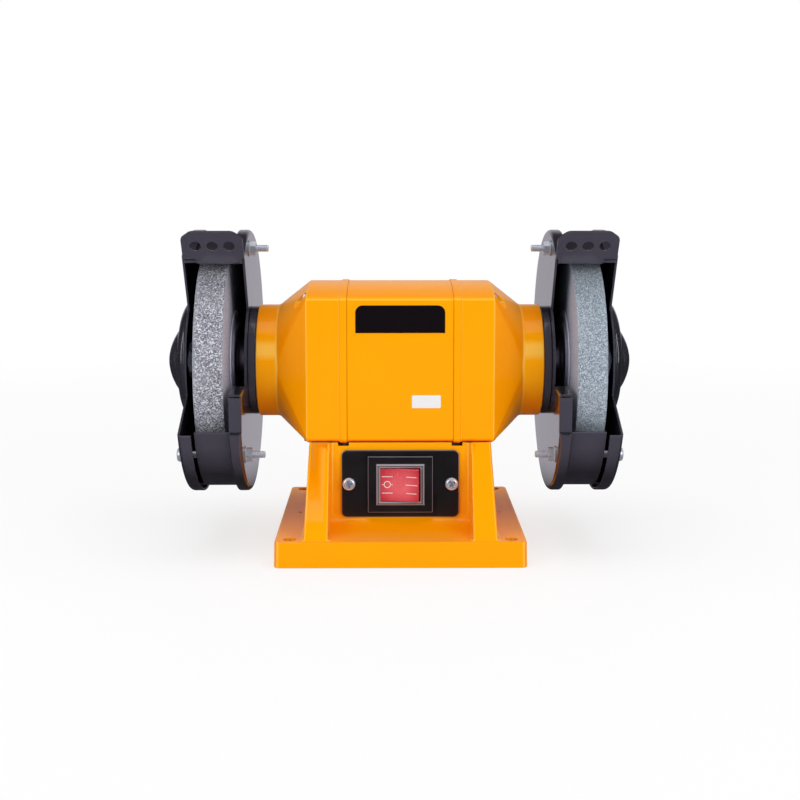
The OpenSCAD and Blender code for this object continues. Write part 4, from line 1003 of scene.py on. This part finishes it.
def innerGuard():
    d = guardData
    x, r, bend, rimBend = d["innerX"], d["rimR"], d["bend"], d["innerRimBend"]
    profile = [(x, d["hubHole"]), (x, 24), (x, d["openR"]), (x, 48), (x, 60), (x, r - bend)]
    profile += bendPoints(x + bend, r - bend, bend, 180, 90)[1:]
    profile += bendPoints(d["innerRimX"] - rimBend, r - rimBend, rimBend, 90, 0, 3)
    profile += [(d["innerRimX"], d["lipR"])]
    low, high = -d["openLow"], d["openTop"]
    rim = spun(profile, high, 360 - (high - low), 132)
    core = spun(profile[:3], low, high - low, 36)
    flat = spun(profile[2:6], low, 40, 20)
    # the flat part in front ends along the hem line and the front edge, both turned outboard
    turn, dip = d["hemBend"], radians(d["hemDip"])
    up, ahead, out = Vector((0, -sin(dip), cos(dip))), Vector((0, -1, 0)), Vector((1, 0, 0))
    line = up.dot(Vector((0, d["hemY"], d["hemZ"]))) - turn
    edge = d["frontY"] + turn
    sliced(flat, up * line, up, clear=True)
    sliced(flat, (0, edge, 0), ahead, clear=True)
    bm = joined(rim, core, flat)
    tidy(bm, 0.01)
    outward(bm)
    faceOut(bm, (-1, 0, 0), lambda c: c.x < x + 0.1)
    loose = [e for e in bm.edges if len(e.link_faces) == 1 and all(near(v.co.x, x) for v in e.verts)]
    lower = [e for e in loose
             if all(near(up.dot(v.co), line, 0.02) and v.co.y < d["hemY"] - 1.5 for v in e.verts)]
    front = [e for e in loose if all(near(v.co.y, edge, 0.02) and v.co.z > d["frontLow"] for v in e.verts)]
    for edges, way in ((lower, up), (front, ahead)):
        carried(bm, edges, fold(way, out, turn, 4) + [way * turn + out * (d["innerRimX"] - x)])
    return meshed(bm, "innerGuard", axisZ)


def band():  # the strip over the wheel, and the bracket at its upper end
    d = guardData
    columns = (d["bandX0"], d["bandMid"], d["bandCut"], d["bandX1"])
    low, high, wideSweep = -d["openLow"], d["bandTop"], 230
    wide = spun([(x, d["bandR"]) for x in columns], high, wideSweep, 96)
    narrow = spun([(x, d["bandR"]) for x in columns[:3]], high + wideSweep, 360 - wideSweep - high + low, 32)
    bm = joined(wide, narrow)
    tidy(bm, 0.01)
    # the upper end turns outwards
    end, ray, ahead, bend = angled(d["bandR"], high), angled(1, high), angled(1, high - 90), d["tabBend"]
    edges = [e for e in bm.edges if len(e.link_faces) == 1 and middle(e).x < d["bandCut"]
             and all(near((v.co - Vector((v.co.x, 0, 0)) - end).length, 0) for v in e.verts)]
    carried(bm, edges, fold(ahead, ray, bend, 5))
    # the bracket's outline is drawn flat and stood on the bent edge
    tab = bmesh.new()
    mid, top, slope = d["bracketMid"], d["bracketR"], d["chamfer"]
    left, right = mid - d["bracketW"] / 2, mid + d["bracketW"] / 2
    foot, root = d["bandR"] + d["bracketFoot"], d["bandR"] + bend
    outline = [(x, root) for x in columns[:3]] + [
        (d["bandCut"], foot), (right, foot), (right, top - slope), (right - 1.25 * slope, top),
        (left + 1.25 * slope, top), (left, top - slope), (left, foot), (d["bandX0"], foot)]
    loop(tab, [(x, reach, 0) for x, reach in outline])
    turns = [v for v in tab.verts if v.co.y > foot + 1]
    bmesh.ops.bevel(tab, geom=turns, offset=d["cornerR"], segments=4, profile=0.5, affect="VERTICES",
                    material=-1)
    for spot in (-1, 0, 1):
        ring(tab, d["holeR"], (mid + spot * d["holePitch"], d["holeReach"], 0), 36)
    bmesh.ops.triangle_fill(tab, use_beauty=True, edges=tab.edges[:], normal=(0, 0, 1))
    stand = Matrix((Vector((1, 0, 0)), ray, angled(1, high + 90))).transposed()
    bmesh.ops.rotate(tab, cent=(0, 0, 0), matrix=stand, verts=tab.verts)
    bm = joined(bm, moved(tab, *(ahead * bend)))
    tidy(bm, 0.02)
    outward(bm)
    faceOut(bm, (0, 1, 0), lambda c: c.y > 60)
    return meshed(bm, "band", axisZ)


placeBoth("outerCover", outerCover(), "outer_cover", modifiers=sheetMetal(1.2, 0.3))
placeBoth("innerGuard", innerGuard(), "inner_guard", modifiers=sheetMetal(1.2, 0.3))
placeBoth("guardBand", band(), "guard_band", modifiers=sheetMetal(1.2, 0.25))
print("guards made")


# ---- guard fasteners and tie bolts

boltData = {
    "circle": 66.2, "angles": (77, -44, 196), "r": 2, "headR": 3.9, "headH": 2.8, "headX": 118.3,
    "tailX": 73.3, "threadL": 14, "pitch": 0.7, "washerX": 83.5, "washerT": 0.8, "washerR": 4.5,
    "nutX": 80.3, "nutFlats": 7, "nutH": 3.2,
    "screwCircle": 20.5, "screwAngles": (90, 210, 330), "screwHeadX": 85.5, "screwHeadR": 4.2,
    "screwHeadH": 2, "screwR": 2.47, "screwL": 8,
    "tieHeadR": 3.75, "tieTail": 3.4, "tieNutFlats": 6.6, "tieNutH": 2.8,
}


def outboard(shape, x, spot):
    return along(shape, (1, 0, 0), (x, spot.y, spot.z))


def boltSet():
    d = boltData
    r, head, tail = d["r"], d["headX"], d["tailX"]
    bolts, washers, nuts, screws = [], [], [], []
    for spin, angle in enumerate(d["angles"]):
        spot = angled(d["circle"], angle)
        bolts.append(outboard(turned(panHead(d["headR"], d["headH"]), 17 + 31 * spin, "Z"), head, spot))
        bolts.append(outboard(rod(r - 0.32, head - tail), tail, spot))
        bolts.append(outboard(thread(r, d["pitch"], 0.3, d["threadL"], 0.55 * d["pitch"]), tail, spot))
        plain = d["threadL"] - 1
        bolts.append(outboard(rod(r, head - tail - plain, 0), tail + plain, spot))
        washers.append(outboard(washer(d["washerR"], r + 0.2, d["washerT"]), d["washerX"], spot))
        nuts.append(outboard(turned(nut(d["nutFlats"], d["nutH"], r), 11 + 23 * spin, "Z"), d["nutX"], spot))
    for angle in d["screwAngles"]:
        spot = angled(d["screwCircle"], angle)
        screws.append(outboard(panHead(d["screwHeadR"], d["screwHeadH"]), d["screwHeadX"], spot))
        screws.append(outboard(rod(d["screwR"], d["screwL"]), d["screwHeadX"] - d["screwL"], spot))
    return [meshed(joined(*group), "bolts", axisZ) for group in (bolts, washers, nuts, screws)]


def tieSet():
    d, floor = boltData, bodyData["pocketFloor"]
    bolts, nuts = [], []
    for sy, sz in quarters:
        spot = Vector((0, sy * bodyData["tieY"], sz * bodyData["tieZ"] + axisZ))
        head = turned(panHead(d["tieHeadR"], d["headH"]), 24 * (sy + 2 * sz), "Z")
        bolts.append(outboard(head, floor, spot))
        bolts.append(outboard(rod(d["r"], 2 * floor + d["tieTail"]), -floor - d["tieTail"], spot))
        turn = turned(nut(d["tieNutFlats"], d["tieNutH"], d["r"] + 0.03), 20 * (sy - sz), "Z")
        nuts.append(outboard(turn, -floor - d["tieNutH"], spot))
    return meshed(joined(*bolts), "tieBolts"), meshed(joined(*nuts), "tieNuts")


for mesh, name, node in zip(boltSet(), ("coverBolts", "coverWashers", "coverNuts", "guardScrews"),
                            ("cover_bolts", "cover_washers", "cover_nuts", "guard_screws")):
    placeBoth(name, mesh, node, smooth=30)
for mesh, name, node in zip(tieSet(), ("tieBolts", "tieNuts"), ("tie_bolts", "tie_nuts")):
    place(name, mesh, node, smooth=30)
print("fasteners made")


# ---- switch

switchData = {
    "z": 39.6, "plateY": -47.5, "plateW": 64, "plateH": 37, "plateT": 1.5, "plateR": 3,
    "screwX": 28, "screwHeadR": 3.5, "screwHeadH": 2.1, "screwR": 1.72, "screwL": 8,
    "bezelY": -49.7, "bezelW": 35.4, "bezelH": 31, "bodyW": 25.6, "bodyH": 23.3, "bodyDepth": 20,
    "frameY": -50.9, "frameW": 26.4, "frameH": 23, "frameTaper": 1.6, "mouthW": 21.7, "mouthH": 18.5,
    "pocket": 14, "pivotY": -48.1, "rockerR": 10.6, "rockerH": 17.9, "crown": 4.2, "dish": 1.2, "rest": -9,
    "markX": 6.6, "markRise": 0.14, "lineT": 0.34, "dashT": 0.32, "ringR": 1.7, "ringT": 0.36,
}


def upright(width, height, y0, y1):  # a block around the switch's middle
    d = switchData
    return slab(-width / 2, width / 2, y0, y1, d["z"] - height / 2, d["z"] + height / 2)


def plate():
    d = switchData
    bm = upright(d["plateW"], d["plateH"], d["plateY"], d["plateY"] + d["plateT"])
    uprightBevel(bm, 1, d["plateR"], 8)
    rounded(bm, 0.5, 3, 60, lambda m: m.y < d["plateY"] + 0.1)
    return cut(bm, upright(d["bodyW"] + 0.6, d["bodyH"] + 0.6, d["plateY"] - 1, d["plateY"] + 3))


def housing():  # the bezel and the box behind it, with the pocket for the rocker
    d = switchData
    bm = upright(d["bezelW"], d["bezelH"], d["bezelY"], d["plateY"])
    uprightBevel(bm, 1, 0.6, 3)
    rounded(bm, 0.55, 3, 60, lambda m: m.y < d["bezelY"] + 0.1)
    mesh = cut(bm, upright(d["bodyW"], d["bodyH"], d["plateY"] - 1, d["plateY"] + d["bodyDepth"]), "UNION")
    return cut(mesh, upright(d["mouthW"], d["mouthH"], d["bezelY"] - 1, d["bezelY"] + d["pocket"]))


def clearFrame():
    d = switchData
    bm = upright(d["frameW"], d["frameH"], d["frameY"], d["bezelY"])

    def centreFace(side):  # the face around the middle that looks forwards or backwards
        return [f for f in bm.faces if f.normal.y * side > 0.9 and abs(f.calc_center_median().x) < 1
                and abs(f.calc_center_median().z - d["z"]) < 1]

    def shaped(side, width, height):
        for v in centreFace(side)[0].verts:
            v.co.x = copysign(width / 2, v.co.x)
            v.co.z = d["z"] + copysign(height / 2, v.co.z - d["z"])

    def inset(side, thickness, depth=0):
        bmesh.ops.inset_region(bm, faces=centreFace(side), thickness=thickness, depth=depth,
                               use_even_offset=True)

    shaped(-1, d["frameW"] - d["frameTaper"], d["frameH"] - d["frameTaper"])
    inset(-1, 0.5)
    inset(-1, 0.7, -0.55)
    inset(1, 1)
    for side in (-1, 1):
        shaped(side, d["mouthW"], d["mouthH"])
        bmesh.ops.delete(bm, geom=centreFace(side), context="FACES_ONLY")
    bmesh.ops.bridge_loops(bm, edges=[e for e in bm.edges if len(e.link_faces) == 1])
    outward(bm)
    return meshed(rounded(bm, 0.22, 2, 20), "clearFrame")


def rockerDish(x):  # how far forward the rocker's face lies, and its slope in degrees
    d = switchData
    reach = d["rockerR"] - 0.5
    return -d["crown"] + d["dish"] * (1 - (x / reach) ** 2), degrees(atan(-2 * d["dish"] * x / reach ** 2))


def atRest(bm, name):
    d = switchData
    return meshed(moved(turned(bm, d["rest"], "Z"), 0, d["pivotY"], d["z"]), name)


def rocker():
    d = switchData
    bm = bmesh.new()
    r, brow = d["rockerR"], 0.6 - d["crown"]
    face = [(x, rockerDish(x)[0]) for x in [(r - 0.5) * step / 8 for step in range(-8, 9)]]
    outline = face + [(r, brow), (r, 1.2), (3.6, 7), (-3.6, 7), (-r, 1.2), (-r, brow)]
    end = bm.faces.new([bm.verts.new((x, y, -d["rockerH"] / 2)) for x, y in outline])
    raised(bm, [end], d["rockerH"])
    outward(bm)
    return atRest(rounded(bm, 0.45, 3, 60, lambda m: m.y < 0), "rocker")


def marks():  # raised lines and a ring on the rocker's two halves
    d = switchData
    parts = []

    def settle(part, x, z):
        y, slope = rockerDish(x)
        parts.append(moved(turned(part, slope, "Z"), x, y - d["markRise"], z))

    for side, z, width in ((-1, 4.6, 5.8), (-1, -4.4, 5.8), (1, 4.6, 5.8), (1, 0.2, 6.6), (1, -4.4, 5.8)):
        settle(block(width, 0.5, d["lineT"], 0, 0.25, 0), side * d["markX"], z)
    for side in (-1, 1):
        settle(block(0.9, 0.5, d["dashT"], 0, 0.25, 0), -d["markX"] + side * 2.4, 0.2)
    inner, outer = d["ringR"] - d["ringT"] / 2, d["ringR"] + d["ringT"] / 2
    settle(turned(spun([(0, inner), (0, outer), (0.4, outer), (0.4, inner)], steps=40, closed=True), 90, "Z"),
           -d["markX"], 0.3)
    return atRest(joined(*parts), "marks")


def plateScrews():
    d = switchData
    parts = []
    for side, turn in ((-1, 12), (1, 38)):
        spot = (side * d["screwX"], d["plateY"], d["z"])
        head = turned(panHead(d["screwHeadR"], d["screwHeadH"]), turn, "Z")
        parts += [along(head, (0, -1, 0), spot), along(rod(d["screwR"], d["screwL"]), (0, 1, 0), spot)]
    return meshed(joined(*parts), "plateScrews")


place("switchPlate", plate(), "switch_plate")
place("switchHousing", housing(), "switch_housing")
place("switchFrame", clearFrame(), "switch_frame", smooth=25)
place("rocker", rocker(), "rocker")
place("rockerMarks", marks(), "rocker", slot="white_plastic", replaces=False)
place("switchPlateScrews", plateScrews(), "switch_plate_screws", smooth=30)
print("switch made")


# ---- labels, grommet and bottom

labelData = {
    "halfW": 24.3, "low": 20, "high": 35, "r": 4, "t": 0.25, "bodyY": -45,
    "stickerW": 15.7, "stickerH": 7, "stickerT": 0.15, "stickerX": 14.2, "stickerZ": -17.5,
    "cordX": 32, "cordZ": 26, "cordY": 42,
    "screwHeadR": 2.8, "screwHeadH": 1.6, "screwR": 1.47, "screwL": 8, "screwZ": 2,
}
grommetSteps = [(-4, 3.75), (-4, 8.3), (-3.5, 8.75), (-2, 8.75), (-2, 6.25), (4.3, 6.25), (4.3, 8.75),
                (5.8, 8.75), (6.6, 8.2), (7, 7), (7, 4.6), (6.6, 4), (6, 3.75)]


def labelPanel():
    d = labelData
    bm = slab(-d["halfW"], d["halfW"], d["bodyY"] - d["t"], d["bodyY"], axisZ + d["low"], axisZ + d["high"])
    uprightBevel(bm, 1, d["r"], 8, lambda m: m.z > axisZ + d["high"] - 1)
    rounded(bm, 0.1, 2, 60, lambda m: m.y < d["bodyY"] - d["t"] + 0.05)
    return meshed(bm, "labelPanel")


def sticker():
    d = labelData
    bm = block(d["stickerW"], d["stickerT"], d["stickerH"], d["stickerX"], d["bodyY"] - d["stickerT"] / 2,
               axisZ + d["stickerZ"])
    return meshed(uprightBevel(bm, 1, 0.5, 4), "sticker")


def grommet():
    d = labelData
    bm = turned(spun(grommetSteps, steps=48, closed=True), 90, "Z")
    return meshed(moved(bm, d["cordX"], d["cordY"], d["cordZ"]), "grommet")


def bottomScrews():
    d = labelData
    parts = []
    for side in (-1, 1):
        spot = (side * baseData["coverHoleX"], baseData["coverHoleY"], d["screwZ"])
        head = turned(panHead(d["screwHeadR"], d["screwHeadH"]), 20 * side, "Z")
        parts += [along(head, (0, 0, -1), spot), along(rod(d["screwR"], d["screwL"]), (0, 0, 1), spot)]
    return meshed(joined(*parts), "bottomScrews")


place("labelPanel", labelPanel(), "label_panel")
place("dataSticker", sticker(), "data_sticker")
place("cordGrommet", grommet(), "cord_grommet")
place("bottomCoverScrews", bottomScrews(), "bottom_cover_screws", smooth=30)
print("labels and small parts made")


# ---- floor, light and camera

white = (1, 1, 1, 1)
studio = {
    "floorColour": srgb(250, 250, 252), "floorShade": srgb(247, 247, 249), "worldStrength": 0.33,
    "mirrorDark": (0.03, 0.029, 0.036, 1), "mirrorBright": (0.49, 0.465, 0.52, 1),
    "lens": 36 * 1365 / 800, "shiftX": 0.0005, "shiftY": (342.75 - 400) / 800,
    "cameraSpot": (-0.00623, -0.77898, 0.1978), "cameraTurn": (pi / 2 - 0.110, 0, -0.008),
}
lamps = {  # place, width, height, power, and whether polished surfaces mirror it
    "key": ((1.0, -1.1, 0.5), 0.9, 0.8, 7.6, True), "fill": ((-1.0, -1.1, 0.5), 0.9, 0.8, 6.6, True),
    "front": ((0, -1.4, 0.9), 0.5, 0.5, 0.6, False), "top": ((0, 0.1, 1.3), 1.4, 1.0, 5, False),
    "back": ((0, 1.4, 0.7), 0.8, 0.8, 3, False),
    "stripLeft": ((-1.2, 0, 0.35), 0.3, 1.1, 1.6, True), "stripRight": ((1.2, 0, 0.35), 0.3, 1.1, 1.6, True),
    "lineLeft": ((-1.1, 0.5, 0.35), 0.03, 1.1, 0.5, True),
    "lineRight": ((1.1, 0.5, 0.35), 0.03, 1.1, 0.5, True),
    "stripTop": ((0, -0.25, 1.2), 1.4, 0.6, 3.2, True),
}


def seenAs(sheet, kind, plain, camera, place, output):
    # the camera sees white, shiny surfaces see a dark room that is bright behind the object only
    way = sheet.split(sheet.vector("NORMALIZE", place)["Vector"])["Y"]
    mirrored = sheet.blend(way.over(0.86, 0.97), studio["mirrorDark"], studio["mirrorBright"])
    path = sheet.node("ShaderNodeLightPath")
    for share, colour in ((path["Is Camera Ray"] * camera, white), (path["Is Glossy Ray"], mirrored)):
        glow = sheet.node(kind, None, {"Color": colour, "Strength": 1})[0]
        plain = sheet.node("ShaderNodeMixShader", None, {0: share, 1: plain, 2: glow})[0]
    sheet.tree.links.new(plain.socket, sheet.tree.nodes[output].inputs["Surface"])


def floor():
    bm = bmesh.new()
    bmesh.ops.create_grid(bm, x_segments=1, y_segments=1, size=9000)
    moved(bm, 0, 0, -0.05)  # clear of the feet, so that the two don't share a plane
    thing = bpy.data.objects.new("floor", meshed(bm, "floor"))
    sheet = Sheet("floorPaint", Roughness=0.9, Specular_IOR_Level=0)
    sheet.feed(Base_Color=sheet.blend(sheet.noise(3, 2), studio["floorColour"], studio["floorShade"]))
    away = sheet.vector("LENGTH", sheet.place)["Value"]
    seenAs(sheet, "ShaderNodeEmission", Value(sheet, sheet.shader.outputs[0]),
           0.7 + away.over(0.25, 0.9) * 0.3, sheet.place, "Material Output")
    thing.data.materials.append(sheet.material)
    scene.collection.objects.link(thing)


def backdrop():
    world = bpy.data.worlds.new("studio")
    world.cycles.sampling_method = "NONE"  # keeps the rough reflections on the glossy side of the light path
    scene.world = world
    sheet = Sheet("studio", world, Color=white, Strength=studio["worldStrength"])
    direction = sheet.node("ShaderNodeTexCoord")["Generated"]
    seenAs(sheet, "ShaderNodeBackground", Value(sheet, sheet.shader.outputs[0]), 1, direction, "World Output")


def softbox(name, spot, width, height, power, shine):
    data = bpy.data.lights.new(name, "AREA")
    data.shape, data.size, data.size_y, data.energy = "RECTANGLE", width, height, power
    lamp = bpy.data.objects.new(name, data)
    lamp.location = spot
    lamp.rotation_euler = (Vector((0, 0, 0.1)) - Vector(spot)).to_track_quat("-Z", "Y").to_euler()
    lamp.visible_camera = False
    lamp.visible_glossy = shine
    scene.collection.objects.link(lamp)


def camera():
    data = bpy.data.cameras.new("camera")
    data.sensor_width, data.lens, data.clip_start = 36, studio["lens"], 0.01
    data.shift_x, data.shift_y = studio["shiftX"], studio["shiftY"]
    thing = bpy.data.objects.new("camera", data)
    thing.location, thing.rotation_euler = studio["cameraSpot"], studio["cameraTurn"]
    scene.collection.objects.link(thing)
    scene.camera = thing


floor()
backdrop()
for name, row in lamps.items():
    softbox(name, *row)
camera()
scene.view_settings.view_transform = "Standard"
print("studio made")
